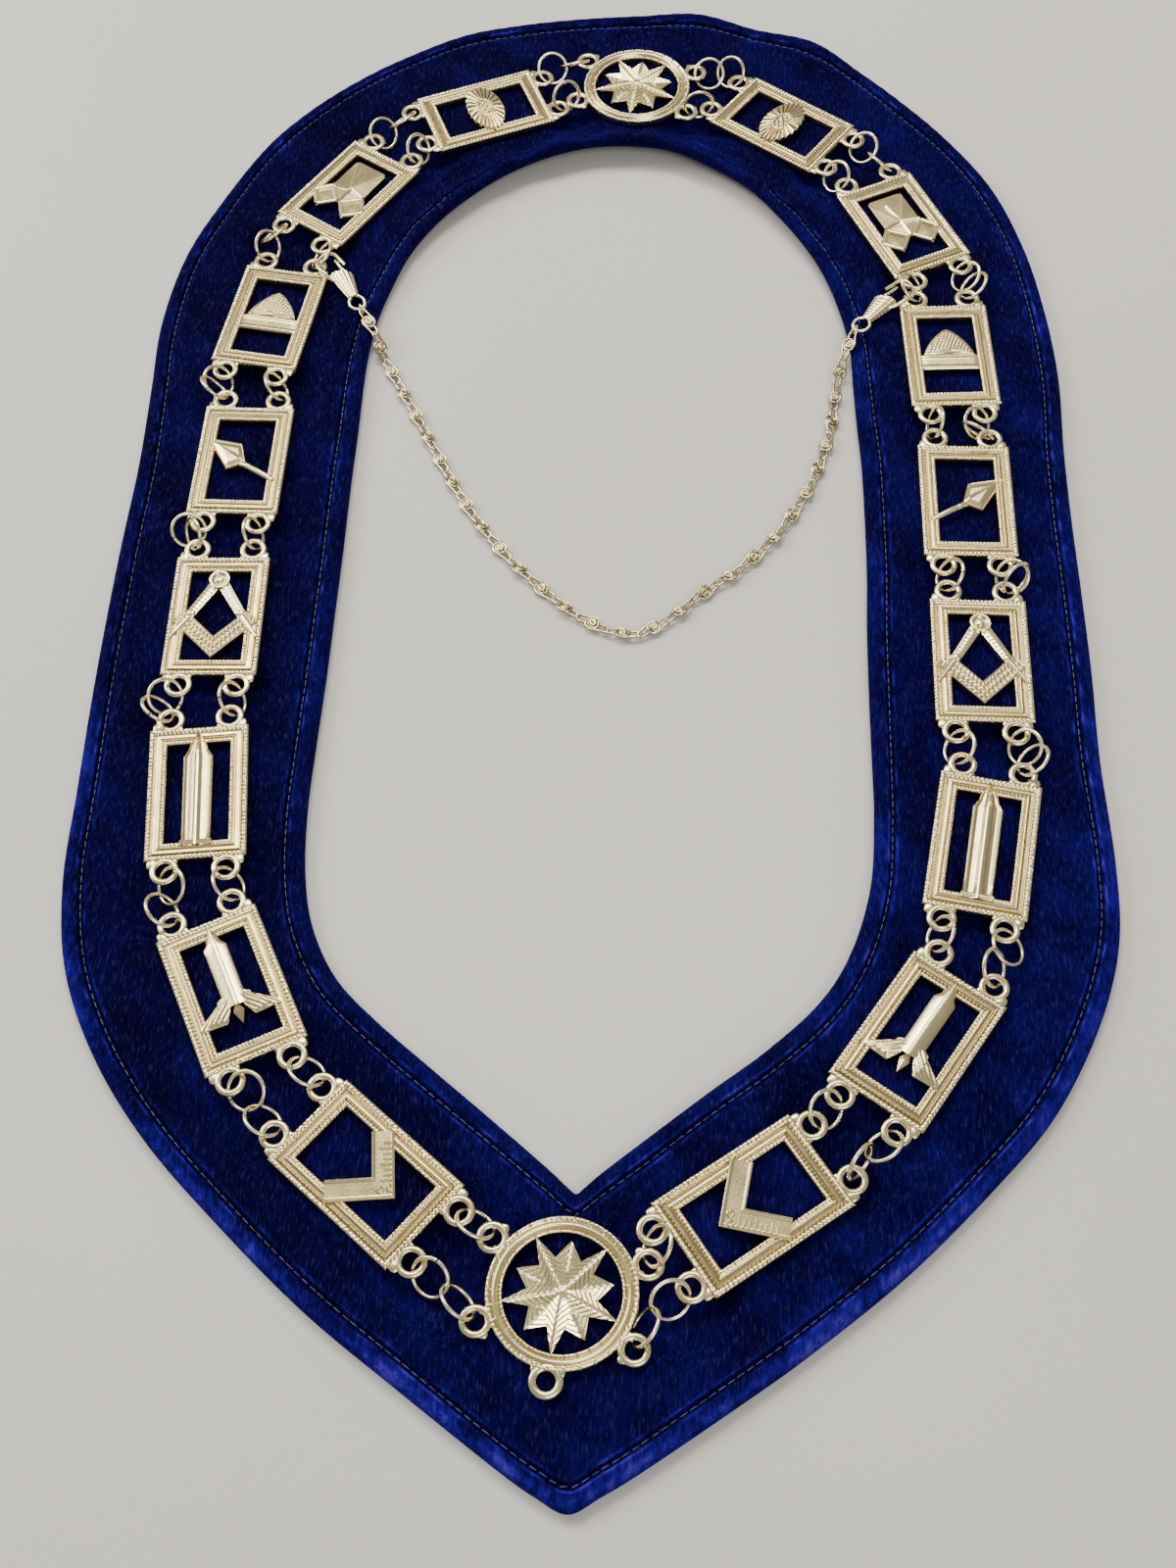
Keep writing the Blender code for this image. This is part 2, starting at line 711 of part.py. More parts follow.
def ring_mesh(name, centre, axis_a, axis_b):
    """Round jump ring of round wire in the plane of two unit axes."""
    normal = axis_a.cross(axis_b)
    sections = []
    for k in range(RING_SIDES):
        angle = 2.0 * math.pi * (k + 0.5) / RING_SIDES
        ray = axis_a * math.cos(angle) + axis_b * math.sin(angle)
        section = []
        for m in range(WIRE_SIDES):
            turn = 2.0 * math.pi * m / WIRE_SIDES
            section.append(tuple(
                centre + ray * (RING_RADIUS + RING_WIRE * math.cos(turn))
                + normal * (RING_WIRE * math.sin(turn))))
        sections.append(section)
    return sweep_loop(name, sections)


def chain_eyes(side, plates):
    """Pairs of eyes that face each other across each gap: (outer pair, inner pair)."""
    gaps = []
    for number in range(len(plates) + 1):
        pairs = []
        for inner in (False, True):
            if number == 0:
                upper = medal_eye(TOP_MEDAL, side, not inner)
            else:
                upper = plate_eye(plates[number - 1], inner, True, side)
            if number == len(plates):
                lower = medal_eye(BOTTOM_MEDAL, side, inner)
            else:
                lower = plate_eye(plates[number], inner, False, side)
            pairs.append((upper, lower))
        gaps.append(pairs)
    return gaps


def leaning_ring(x, y, z, towards, tilt):
    """Centre and two unit axes of a ring whose face looks up and leans in one direction."""
    a = math.radians(towards)
    b = math.radians(tilt)
    normal = Vector((math.cos(a) * math.sin(b), math.sin(a) * math.sin(b), math.cos(b)))
    level = normal.cross(Vector((0.0, 0.0, 1.0))).normalized()
    return Vector((x, y, z)), level, normal.cross(level)


def gap_rings(side, plates, table):
    """Frames of the three rings in every gap: upper outer, lower outer, inner."""
    found = []
    for (outer, inner), row in zip(chain_eyes(side, plates), table):
        inner_roll, rise = row[:2]
        lift = Vector((0.0, 0.0, rise))
        pull = (outer[1] - outer[0]).normalized() * row[6]
        upper, lower = hooked_rings(outer[0] + pull, outer[1] - pull, row[2:6], side)
        single = spanning_ring(inner[0] + lift, inner[1] + lift, inner_roll, side)
        found.append((upper, lower, single))
    return found


def make_rings():
    """Jump rings of both sides."""
    for side_name, side, plates, table in (
        ("left", -1.0, LEFT_PLATES, LEFT_GAPS),
        ("right", 1.0, RIGHT_PLATES, RIGHT_GAPS),
    ):
        for number, rings in enumerate(gap_rings(side, plates, table), start=1):
            upper, lower, single = rings
            name = f"rings_outer_{side_name}_{number}"
            pair = fuse(name, [ring_mesh("upper", *upper), ring_mesh("lower", *lower)])
            place(name, pair, BRIGHT)
            name = f"ring_inner_{side_name}_{number}"
            if number == CLIP_GAP:
                single = leaning_ring(*CLIP_RINGS[side_name])
            place(name, ring_mesh(name, *single), BRIGHT)


def make_links():
    """Cast plates of both sides and the two medallions."""
    for side_name, side, plates in (("left", 1.0, LEFT_PLATES), ("right", -1.0, RIGHT_PLATES)):
        for number, (motif, x, y, heading) in enumerate(plates, start=1):
            name = f"plate_{side_name}_{number}"
            mesh = plate_mesh(name, motif, side)
            place(name, mesh, SILVER, x, y, PLATE_BASE, heading - 90.0)
    for name, centre, hanging_loop in (
        ("medallion_top", TOP_MEDAL, False),
        ("medallion_bottom", BOTTOM_MEDAL, True),
    ):
        mesh = medallion_mesh(name, hanging_loop)
        place(name, mesh, SILVER, centre[0], centre[1], PLATE_BASE, MEDAL_TURN)


def closed_curve(rows, per_row):
    """Points of a closed smooth curve through rows of any number of columns."""
    table = np.array(rows, dtype=float)
    t = np.linspace(0.0, 1.0, per_row, endpoint=False)[:, None]
    pieces = []
    for k in range(len(table)):
        a, b, c, d = (table[(k + step) % len(table)] for step in (-1, 0, 1, 2))
        pieces.append(0.5 * (2 * b + (c - a) * t + (2 * a - 5 * b + 4 * c - d) * t ** 2
                             + (3 * b - a - 3 * c + d) * t ** 3))
    return np.vstack(pieces)


def nearest_section(curve, spot):
    """Row of the curve whose line across the velvet passes nearest to a spot, and how far in."""
    across = curve[:, 2:4] - curve[:, 0:2]
    width = np.linalg.norm(across, axis=1)
    from_edge = np.array(spot) - curve[:, 0:2]
    inwards = (from_edge * across).sum(axis=1) / width
    missed = np.abs(from_edge[:, 0] * across[:, 1] - from_edge[:, 1] * across[:, 0]) / width
    missed[(inwards < 0.0) | (inwards > width)] = 1000.0
    row = int(np.argmin(missed))
    return row, float(inwards[row])


def velvet_stations(curve):
    """Where the velvet needs a section: the middle of every link and both sides of every gap."""
    stations = []
    for side, plates in ((-1.0, LEFT_PLATES), (1.0, RIGHT_PLATES)):
        for _, x, y, _ in plates:
            stations.append((x, y, 0.0))
        for outer, inner in chain_eyes(side, plates):
            ends = [(outer[k] + inner[k]) / 2.0 for k in (0, 1)]
            middle = (ends[0] + ends[1]) / 2.0
            step = (ends[1] - ends[0]).normalized() * DIMPLE_HALF
            for spot in (middle - step, middle + step):
                stations.append((spot.x, spot.y, DIMPLE_DEEP))
    for x, y in (TOP_MEDAL, BOTTOM_MEDAL):
        stations.append((x, y, 0.0))
    stations += list(TIP_SPOTS)
    found = [nearest_section(curve, (x, y)) + (dimple,) for x, y, dimple in stations]
    return sorted(found)


def velvet_section(row, spine, dimple):
    """Cross-section of the padded velvet from its outer to its inner edge and back below."""
    outer = np.array(row[0:2])
    inner = np.array(row[2:4])
    width = float(np.linalg.norm(inner - outer))
    across = (inner - outer) / width
    top = VELVET_TOP
    groove = top - GROOVE_DEEP
    shape = (
        (0.0, 2.2),
        (3.2, EDGE_HIGH),
        (EDGE_ROLL, groove),
        (EDGE_ROLL + 3.0, top),
        (spine - DIMPLE_SIDE, top - dimple),
        (spine + DIMPLE_SIDE, top - dimple),
        (width - EDGE_ROLL - 3.0, top),
        (width - EDGE_ROLL, groove),
        (width - 3.2, EDGE_HIGH),
        (width, 2.2),
        (width - 1.2, 0.0),
        (width - LIFT_REACH, 0.0),
        (1.2, 0.0),
    )
    section = []
    for distance, height in shape:
        rise = max(0.0, row[4]) * max(0.0, 1.0 - distance / LIFT_REACH) ** 1.3
        rise += max(0.0, row[5]) * max(0.0, 1.0 - (width - distance) / LIFT_REACH) ** 1.3
        x, y = outer + across * distance
        section.append((x, y, height + rise))
    return section


def make_velvet():
    """Padded velvet loop, section by section down the left side and up the right."""
    rows = list(LEFT_SECTIONS) + list(reversed(TIP_SECTIONS)) + list(reversed(RIGHT_SECTIONS))
    curve = closed_curve(rows, 60)
    sections = []
    last = -1000
    for row, spine, dimple in velvet_stations(curve):
        if row - last > 12:
            sections.append(velvet_section(curve[row], spine, dimple))
            last = row
    place("velvet_collar", sweep_loop("velvet_collar", sections), VELVET)


def smooth_route(route, count):
    """Evenly spread points on a Catmull-Rom curve through a route's points."""
    control = np.array(route, dtype=float)
    ends = np.vstack((2 * control[0] - control[1], control, 2 * control[-1] - control[-2]))
    fine = []
    for k in range(len(control) - 1):
        a, b, c, d = ends[k:k + 4]
        t = np.linspace(0.0, 1.0, 24, endpoint=False)[:, None]
        fine.append(0.5 * (2 * b + (c - a) * t + (2 * a - 5 * b + 4 * c - d) * t ** 2
                           + (3 * b - a - 3 * c + d) * t ** 3))
    fine = np.vstack(fine + [control[-1:]])
    steps = np.concatenate(([0.0], np.cumsum(np.linalg.norm(np.diff(fine, axis=0), axis=1))))
    wanted = np.linspace(0.0, steps[-1], count)
    return np.column_stack([np.interp(wanted, steps, fine[:, axis]) for axis in range(3)])


def make_chain():
    """Throat chain as a plain tube along its route."""
    curve = bpy.data.curves.new("throat_chain", "CURVE")
    curve.dimensions = "3D"
    curve.bevel_depth = CHAIN_RADIUS * MM
    curve.bevel_resolution = 2
    curve.use_fill_caps = True
    points = smooth_route(CHAIN_ROUTE, CHAIN_POINTS)
    spline = curve.splines.new("POLY")
    spline.points.add(len(points) - 1)
    for target, point in zip(spline.points, points):
        target.co = (*(point * MM), 1.0)
    curve.materials.append(finish_material("throat_chain", BRIGHT))
    chain = bpy.data.objects.new("throat_chain", curve)
    bpy.context.scene.collection.objects.link(chain)


def clip_point(side_name, u, v, z):
    """World point of a clip: v from its loop to its hook, u towards the free end of its wire."""
    (foot_x, foot_y), (top_x, top_y) = CLIP_PLACES[side_name]
    along = Vector((top_x - foot_x, top_y - foot_y, 0.0)).normalized()
    way = 1.0 if side_name == "left" else -1.0
    across = Vector((along.y, -along.x, 0.0)) * way
    return Vector((foot_x, foot_y, 0.0)) + along * v + across * u + Vector((0.0, 0.0, z))


def wire_mesh(name, points, radius, sides=5):
    """Capped round wire along a run of points, none of its stretches upright."""
    sections = []
    for k, point in enumerate(points):
        before = points[max(k - 1, 0)]
        after = points[min(k + 1, len(points) - 1)]
        along = (after - before).normalized()
        side = along.cross(Vector((0.0, 0.0, 1.0))).normalized()
        up = side.cross(along)
        section = []
        for m in range(sides):
            turn = 2.0 * math.pi * m / sides
            section.append(tuple(point + side * radius * math.cos(turn) + up * radius * math.sin(turn)))
        sections.append(section)
    return sweep_open(name, sections)


def clip_mesh(name, side_name):
    """Clip without its gate: end loop, flattened tapering sleeve and bent wire hook."""
    sleeve = []
    for v, half, thick, slant in CLIP_SLEEVE:
        section = []
        for m in range(8):
            turn = 2.0 * math.pi * m / 8
            u = half * math.cos(turn)
            z = CLIP_LOW + CLIP_CLIMB * v + thick * math.sin(turn)
            section.append(tuple(clip_point(side_name, u, v - slant * u, z)))
        sleeve.append(section)
    loop = [clip_point(side_name, u, v, CLIP_LOW + CLIP_CLIMB * v) for u, v in CLIP_LOOP]
    hook = [clip_point(side_name, *row) for row in CLIP_HOOK]
    parts = [sweep_open("sleeve", sleeve), wire_mesh("loop", loop, CLIP_WIRE),
             wire_mesh("hook", hook, CLIP_WIRE)]
    return fuse(name, parts)


def make_clips():
    """Both clips with their sprung gates, each gate's origin on its hinge line."""
    for side_name in ("left", "right"):
        place(f"clasp_{side_name}", clip_mesh(f"clasp_{side_name}", side_name), BRIGHT)
        hinge = clip_point(side_name, *TONGUE_ROUTE[0])
        route = [clip_point(side_name, *row) - hinge for row in TONGUE_ROUTE]
        start = route[0] - (route[1] - route[0]).normalized() * TONGUE_HEEL
        gate = wire_mesh(f"tongue_{side_name}", [start] + route[1:], TONGUE_WIRE)
        place(f"tongue_{side_name}", gate, BRIGHT, hinge.x, hinge.y, hinge.z)


def main():
    clear_scene()
    make_velvet()
    make_links()
    make_rings()
    make_chain()
    make_clips()


main()
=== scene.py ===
import math

import bmesh
import bpy
import numpy as np
from mathutils import Matrix, Vector


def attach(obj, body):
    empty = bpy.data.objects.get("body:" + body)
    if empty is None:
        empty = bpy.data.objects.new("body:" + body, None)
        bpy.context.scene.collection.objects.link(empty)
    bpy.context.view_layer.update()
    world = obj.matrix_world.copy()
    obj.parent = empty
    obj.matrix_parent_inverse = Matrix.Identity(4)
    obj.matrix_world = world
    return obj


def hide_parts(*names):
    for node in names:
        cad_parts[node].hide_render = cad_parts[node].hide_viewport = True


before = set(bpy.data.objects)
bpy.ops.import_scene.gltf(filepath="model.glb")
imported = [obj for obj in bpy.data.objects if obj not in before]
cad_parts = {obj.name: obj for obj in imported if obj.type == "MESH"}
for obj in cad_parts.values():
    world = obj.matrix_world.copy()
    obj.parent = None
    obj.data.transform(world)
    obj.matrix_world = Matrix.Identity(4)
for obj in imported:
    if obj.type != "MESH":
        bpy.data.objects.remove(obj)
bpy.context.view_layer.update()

# Lengths are millimetres in the collar's frame, made metres when a mesh is written. Lights and
# the camera are in metres.
MM = 0.001
UP = (0.0, 0.0, 1.0)

# Heights and sizes shared with the solids. A plate's own height counts up from its base.
PLATE_BASE = 5.0
EYE_HEIGHT = 1.3
EYE_RADIUS = 3.05
PLATE_LENGTH = 40.0
PLATE_WIDTH = 26.9
BAR_WIDTH = 5.1
FACE_HEIGHT = 1.55
EYE_ACROSS = 8.0
EYE_BEYOND = 3.0
MEDAL_OUTSIDE = 17.8
MEDAL_INSIDE = 13.8
MEDAL_TURN = -7.0
MEDAL_EYE_OUT = 20.8
MEDAL_EYE_ANGLE = 28.0
LOOP_OUT = 20.0

# Jump rings: radius, wire, and half the angle between the cut ends
RING_RADIUS = 4.8
RING_WIRE = 0.5
RING_CUT = 0.035

# Links from the back of the neck down each side: x, y, heading of the long axis
LEFT_PLATES = (
    (-46.5, 193.3, 23.5), (-87.8, 153.1, 58.0), (-105.4, 97.9, 82.5), (-106.1, 41.3, 90.5),
    (-104.8, -14.4, 92.5), (-100.9, -71.0, 97.5), (-83.4, -126.7, 117.5), (-44.2, -171.8, 141.5),
)
RIGHT_PLATES = (
    (52.3, 190.2, 145.5), (91.0, 145.3, 117.0), (103.6, 90.9, 94.0), (106.5, 35.4, 91.0),
    (108.0, -19.7, 90.5), (105.7, -77.0, 81.0), (87.3, -131.8, 57.0), (47.5, -174.8, 36.3),
)
TOP_MEDAL = (3.5, 207.0)
BOTTOM_MEDAL = (4.2, -197.6)

# Jump rings gap by gap: inner ring's roll and rise, then the outer pair's heading, tilt, grip
# and roll, and how far both are pulled from their eyes
LEFT_GAPS = (
    (70, 0.0, 78, 43, 145, 48, 0.0), (60, 0.6, 89, 43, 172, 51, 0.0),
    (140, 0.0, 68, 43, 123, 58, 0.0), (55, 0.8, 64, 138, 115, 50, 0.0),
    (65, 0.4, 41, -33, 115, 117, 0.0), (55, 0.8, 54, 137, 143, 44, 0.0),
    (45, 0.2, 105, 137, 207, 44, 0.0), (40, 0.0, 108, 147, 205, 40, 0.0),
    (45, 0.2, 94, 136, 168, 54, 1.0),
)
RIGHT_GAPS = (
    (85, 0.0, 77, 137, 141, 51, 0.0), (50, 0.2, 86, -43, 176, 131, 0.0),
    (120, 0.0, 78, 138, 122, 43, 0.0), (70, 0.0, 127, 137, 147, 117, 0.0),
    (50, 0.0, 56, 136, 112, 104, 0.0), (45, 0.2, 69, 137, 125, 44, 0.0),
    (55, 0.8, 72, 33, 115, 129, 0.0), (135, 0.2, 90, -137, 169, 103, 0.0),
    (50, 0.0, 109, -44, 181, 55, 0.8),
)

# Velvet sections down each side: outer edge x, y, inner edge x, y, then the lift of the outer
# and the inner edge where there is one
LEFT_SECTIONS = (
    (3.0, 244.5, 2.5, 178.0, 1.5, 6.0), (-17.8, 242.7, -11.6, 176.5, 1.0, 6.0),
    (-37.8, 239.5, -25.1, 171.5, 0.5, 5.5), (-57.1, 233.5, -37.7, 164.0, 0.5, 4.5),
    (-76.5, 222.0, -48.7, 154.0, 0.0, 3.5), (-92.5, 209.0, -58.2, 142.5, 0.0, 2.5),
    (-107.0, 193.5, -65.4, 129.5, 0.0, 1.5), (-119.0, 175.5, -70.0, 115.0, 0.0, 0.5),
    (-130.5, 148.0, -73.0, 101.0), (-137.5, 125.0, -74.0, 87.5),
    (-140.4, 97.0, -74.1, 75.3), (-139.0, 70.0, -73.6, 55.0),
    (-137.6, 41.0, -73.4, 38.6), (-137.5, 13.0, -72.7, 11.0),
    (-137.0, -14.0, -72.4, -8.0), (-136.0, -42.0, -72.0, -31.9),
    (-134.5, -70.0, -72.0, -51.5), (-133.0, -97.0, -71.7, -73.0),
    (-127.5, -122.0, -69.8, -92.2), (-116.0, -144.5, -65.8, -107.3),
    (-99.4, -165.5, -58.0, -121.0), (-78.0, -185.5, -46.5, -132.0),
    (-55.2, -204.4, -31.5, -143.8), (-31.0, -221.0, -15.5, -156.2),
    (-8.0, -236.3, -1.5, -167.3),
)
RIGHT_SECTIONS = (
    (23.5, 245.0, 16.6, 176.0, 2.5, 6.0), (43.0, 239.5, 29.9, 169.5, 1.0, 5.0),
    (63.0, 231.5, 41.9, 160.5, 3.0, 4.5), (79.0, 219.5, 52.0, 148.5, 0.5, 3.5),
    (92.5, 203.5, 60.3, 136.5, 2.0, 2.5), (107.5, 187.0, 66.8, 123.5, 0.5, 1.5),
    (120.5, 165.0, 71.5, 108.5, 1.0, 0.5), (129.5, 140.0, 74.0, 95.0),
    (134.5, 113.0, 74.8, 80.0), (136.9, 86.0, 75.6, 66.0),
    (136.6, 58.0, 76.8, 50.0), (137.0, 33.0, 77.4, 32.0),
    (137.9, 8.0, 77.7, 11.0), (138.7, -20.0, 77.4, -9.0),
    (138.8, -48.0, 77.6, -32.4), (140.4, -80.0, 78.0, -52.4),
    (139.2, -103.0, 78.2, -68.0), (132.5, -125.0, 77.0, -88.0),
    (120.5, -148.0, 72.0, -106.5), (105.1, -166.7, 64.0, -121.0),
    (84.0, -188.5, 51.0, -134.5), (61.1, -207.9, 36.5, -146.5),
    (43.4, -221.2, 21.5, -159.3), (24.0, -235.1, 11.5, -168.0),
)
TIP_SECTIONS = ((15.5, -240.6, 7.6, -171.8), (8.3, -244.6, 6.0, -173.0), (1.0, -241.6, 4.0, -172.0))

# Velvet: depth of its hollows, how far in a lift reaches, and its stitches
DIMPLE_DEEP = 2.8
LIFT_REACH = 11.0
STITCH_INSET = 5.4
STITCH_PITCH = 2.6
STITCH_LENGTH = 2.42
STITCH_ARCH = 0.22
THREAD_RADIUS = 0.11

# Distances in from an edge at which the velvet's top and its underside are worked out
TOP_INSETS = (
    0.0, 0.1, 0.35, 0.8, 1.4, 2.2, 3.0, 3.7, 4.2, 4.6, 5.0, 5.4, 5.8, 6.2, 6.7, 7.3, 8.6, 10.5)
UNDER_INSETS = (0.5, 1.6, 5.0, 11.0)
UNDER_TUCK = 0.9
MIDDLE_COLUMNS = 30

# Throat chain from the left clip round to the right one: x, y, height of its middle
CHAIN_ROUTE = (
    (-77.3, 101.5, 7.0), (-75.3, 97.8, 6.8), (-71.3, 92.0, 4.6), (-69.0, 86.5, 1.9),
    (-66.5, 82.0, 1.5), (-61.8, 73.5, 1.5), (-56.0, 62.8, 1.5), (-50.7, 52.8, 1.5),
    (-45.2, 42.4, 1.5), (-39.5, 32.4, 1.5), (-33.0, 22.8, 1.5), (-25.8, 13.6, 1.5),
    (-17.9, 5.5, 1.5), (-9.2, -2.6, 1.5), (-0.2, -9.0, 1.5), (5.0, -11.3, 1.5),
    (11.3, -12.2, 1.5), (16.3, -11.6, 1.5), (20.8, -7.7, 1.5), (29.4, 1.1, 1.5),
    (38.1, 8.7, 1.5), (46.2, 16.4, 1.5), (53.1, 25.8, 1.5), (58.8, 36.0, 1.5),
    (63.5, 47.0, 1.5), (66.6, 57.8, 1.5), (68.6, 68.8, 1.5), (69.6, 79.5, 1.6),
    (70.4, 86.0, 1.9), (71.8, 90.5, 4.6), (73.2, 94.6, 6.6), (74.8, 98.7, 7.0),
)
LINK_COUNT = 30
LINK_LENGTH = 10.6
LINK_WIRE = 0.4

# Clips: middle of the end of the chain's loop, and the direction in which the hook points
CLIP_PLACES = {
    "left": ((-77.8, 102.4), (-89.9, 123.0)),
    "right": ((75.3, 99.8), (90.3, 118.0)),
}

# Height of a clip's middle at its foot, its climb with the distance along, and its wires
CLIP_LOW = 6.4
CLIP_CLIMB = 0.08
CLIP_WIRE = 0.55
GATE_WIRE = 0.5

# One half of the clip's end loop, from its foot into the sleeve: across, along
CLIP_LOOP_HALF = ((0.7, 0.4), (1.9, 1.3), (2.4, 3.0), (1.9, 4.6), (0.8, 5.8), (0.6, 8.0))

# Middle of the hook's wire and of the sprung gate's wire: across, along, height
CLIP_HOOK = (
    (-2.4, 13.0, 7.5), (-3.6, 14.8, 8.0), (-4.7, 17.1, 9.0), (-5.45, 20.2, 9.0),
    (-4.95, 22.2, 9.0), (-2.85, 24.0, 8.75), (-0.3, 24.7, 8.6), (1.4, 23.2, 8.6),
    (2.1, 20.6, 8.6), (2.6, 17.6, 8.6),
)
GATE_ROUTE = ((1.6, 15.9, 7.75), (1.1, 18.5, 7.75), (0.8, 21.6, 7.8))

# The inner ring that each clip hooks into: its gap, and its centre, lean direction and lean
CLIP_GAP = 3
CLIP_RINGS = {
    "left": (-92.75, 123.75, 7.1, 174.0, 48.0),
    "right": (92.95, 117.55, 7.25, -4.5, 44.5),
}

# How far the painted shade of cast metal looks for its neighbours, in rows and columns
PAINTED_SHADE_REACH = 3

# Light and camera, in metres and watts: name, place, target, width, depth, power, colour
LIGHTS = (
    ("ceiling panel", (-0.15, 0.75, 1.3), (0.0, 0.05, 0.0), 0.9, 0.45, 19.0, (1.0, 0.94, 0.82)),
    ("left fill", (-1.05, 0.45, 0.85), (0.0, 0.0, 0.0), 0.6, 0.6, 12.0, (1.0, 0.97, 0.92)),
    ("front fill", (0.5, -1.0, 1.2), (0.0, 0.0, 0.0), 0.8, 0.8, 11.0, (1.0, 0.96, 0.88)),
)
ROOM_TONE = (0.9, 0.88, 0.85, 1.0)
ROOM_STRENGTH = 0.42
TABLE_HALF = 9.0
CAMERA_PLACE = (0.0236, -0.3025, 0.4297)
CAMERA_TARGET = (0.0025, -0.064, 0.007)
CAMERA_ROLL = -2.06
CAMERA_LENS = 42.17
SENSOR_HEIGHT = 36.0


# Mesh writing

def grid_faces(rows, cols, wrap_rows, wrap_cols):
    """Corner numbers of the quads between neighbouring rows and columns of a grid."""
    r, c = np.meshgrid(
        np.arange(rows if wrap_rows else rows - 1),
        np.arange(cols if wrap_cols else cols - 1), indexing="ij")
    below = (r + 1) % rows
    beside = (c + 1) % cols
    quads = np.stack((r * cols + c, below * cols + c, below * cols + beside, r * cols + beside), -1)
    return quads.reshape(-1, 4)


def add_piece(name, patches, material, sharp, replaced=(), body="collar"):
    """Write closed grid patches (points, tone, wrap rows, wrap columns) as one object.

    The tone is kept on each point and holds painted light and shade. Edges that turn by more
    than sharp degrees stay crisp.
    """
    points = []
    tones_and_shades = []
    faces = []
    start = 0
    for grid, tone_and_shade, wrap_rows, wrap_cols in patches:
        rows, cols = grid.shape[:2]
        points.append(grid.reshape(-1, 3))
        tones_and_shades.append(np.broadcast_to(tone_and_shade, (rows, cols)).reshape(-1))
        faces.append(grid_faces(rows, cols, wrap_rows, wrap_cols) + start)
        start += rows * cols
    points = np.vstack(points) * MM
    faces = np.vstack(faces)
    mesh = bpy.data.meshes.new(name)
    mesh.vertices.add(len(points))
    mesh.vertices.foreach_set("co", points.astype(np.float32).ravel())
    mesh.loops.add(faces.size)
    mesh.loops.foreach_set("vertex_index", faces.astype(np.int32).ravel())
    mesh.polygons.add(len(faces))
    mesh.polygons.foreach_set("loop_start", np.arange(0, faces.size, 4, dtype=np.int32))
    mesh.update(calc_edges=True)
    # Each point's tone, which carries the piece's painted light and shade.
    tone_and_shade = mesh.attributes.new("tone_and_shade", "FLOAT", "POINT")
    tone_and_shade.data.foreach_set("value", np.concatenate(tones_and_shades).astype(np.float32))
    work = bmesh.new()
    work.from_mesh(mesh)
    bmesh.ops.remove_doubles(work, verts=work.verts, dist=0.000001)
    bmesh.ops.recalc_face_normals(work, faces=work.faces)
    work.to_mesh(mesh)
    work.free()
    mesh.shade_smooth()
    mesh.set_sharp_from_angle(angle=math.radians(sharp))
    mesh.materials.append(material)
    piece = bpy.data.objects.new(name, mesh)
    bpy.context.scene.collection.objects.link(piece)
    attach(piece, body)
    if replaced:
        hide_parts(*replaced)
    return piece


def placed(patches, x, y, z, turn):
    """Patches turned by some degrees about the vertical, then moved."""
    a = math.radians(turn)
    spin = np.array([[math.cos(a), math.sin(a), 0.0], [-math.sin(a), math.cos(a), 0.0], [0, 0, 1]])
    return [(grid @ spin + (x, y, z), *rest) for grid, *rest in patches]


# Curves and surfaces

def unit(vectors):
    """Vectors divided by their own lengths."""
    return vectors / np.linalg.norm(vectors, axis=-1, keepdims=True)


def clamp(value):
    """Values kept between 0 and 1."""
    return np.clip(value, 0, 1)


def hump(value, centre, spread):
    """Bell curve: e to the power of minus the square of distance from the centre over spread."""
    return np.exp(-((value - centre) / spread) ** 2)


def half_round(value, centre, half):
    """Height of a half circle over a strip: 1 on its middle line and 0 from its edges outward."""
    return np.sqrt(clamp(1 - ((value - centre) / half) ** 2))


def full_turn(count):
    """Angles evenly spaced all the way round, the first one not repeated."""
    return np.linspace(0.0, 2.0 * np.pi, count, endpoint=False)


def catmull(rows, per_row, closed=False):
    """Points of the cubic through rows: each stretch blends its own two rows and both next."""
    table = np.array(rows, dtype=float)
    if not closed:
        table = np.vstack((2 * table[0] - table[1], table, 2 * table[-1] - table[-2]))
    count = len(table) if closed else len(table) - 3
    a, b, c, d = (np.roll(table, step, axis=0)[:, None] for step in (1, 0, -1, -2))
    if not closed:
        a, b, c, d = (part[1:count + 1] for part in (a, b, c, d))
    t = np.linspace(0.0, 1.0, per_row, endpoint=False)[None, :, None]
    curve = 0.5 * (2 * b + (c - a) * t + (2 * a - 5 * b + 4 * c - d) * t ** 2
                   + (3 * b - a - 3 * c + d) * t ** 3)
    curve = curve.reshape(-1, table.shape[1])
    return curve if closed else np.vstack((curve, table[-2]))


def even(path, count):
    """Points spread evenly by arc length along an open path."""
    steps = np.concatenate(([0.0], np.cumsum(np.linalg.norm(np.diff(path, axis=0), axis=1))))
    wanted = np.linspace(0.0, steps[-1], count)
    return np.column_stack([np.interp(wanted, steps, column) for column in path.T])


def tube(path, radius, sides, tone_and_shade, closed=False, up=UP):
    """Round wire: a circle carried along a path, its ends drawn in to a point.

    Painted light lightens the upper side of the wire and painted shade darkens it below.
    """
    path = np.asarray(path, dtype=float)
    if closed:
        ahead = unit(np.roll(path, -1, axis=0) - np.roll(path, 1, axis=0))
    else:
        ahead = unit(np.gradient(path, axis=0))
    side = unit(np.cross(ahead, up))
    lift = np.cross(side, ahead)
    turn = full_turn(sides)[None, :, None]
    reach = np.broadcast_to(radius, len(path))[:, None, None]
    grid = path[:, None] + reach * (side[:, None] * np.cos(turn) + lift[:, None] * np.sin(turn))
    if not closed:
        first = np.repeat(path[:1, None], sides, axis=1)
        last = np.repeat(path[-1:, None], sides, axis=1)
        grid = np.concatenate((first, grid, last))
    # Painted light on the wire's upper side and painted shade on its underside.
    rise = grid[..., 2] - grid[..., 2].mean(axis=1, keepdims=True)
    return grid, clamp(tone_and_shade + 0.3 * rise / np.max(radius)), closed, True


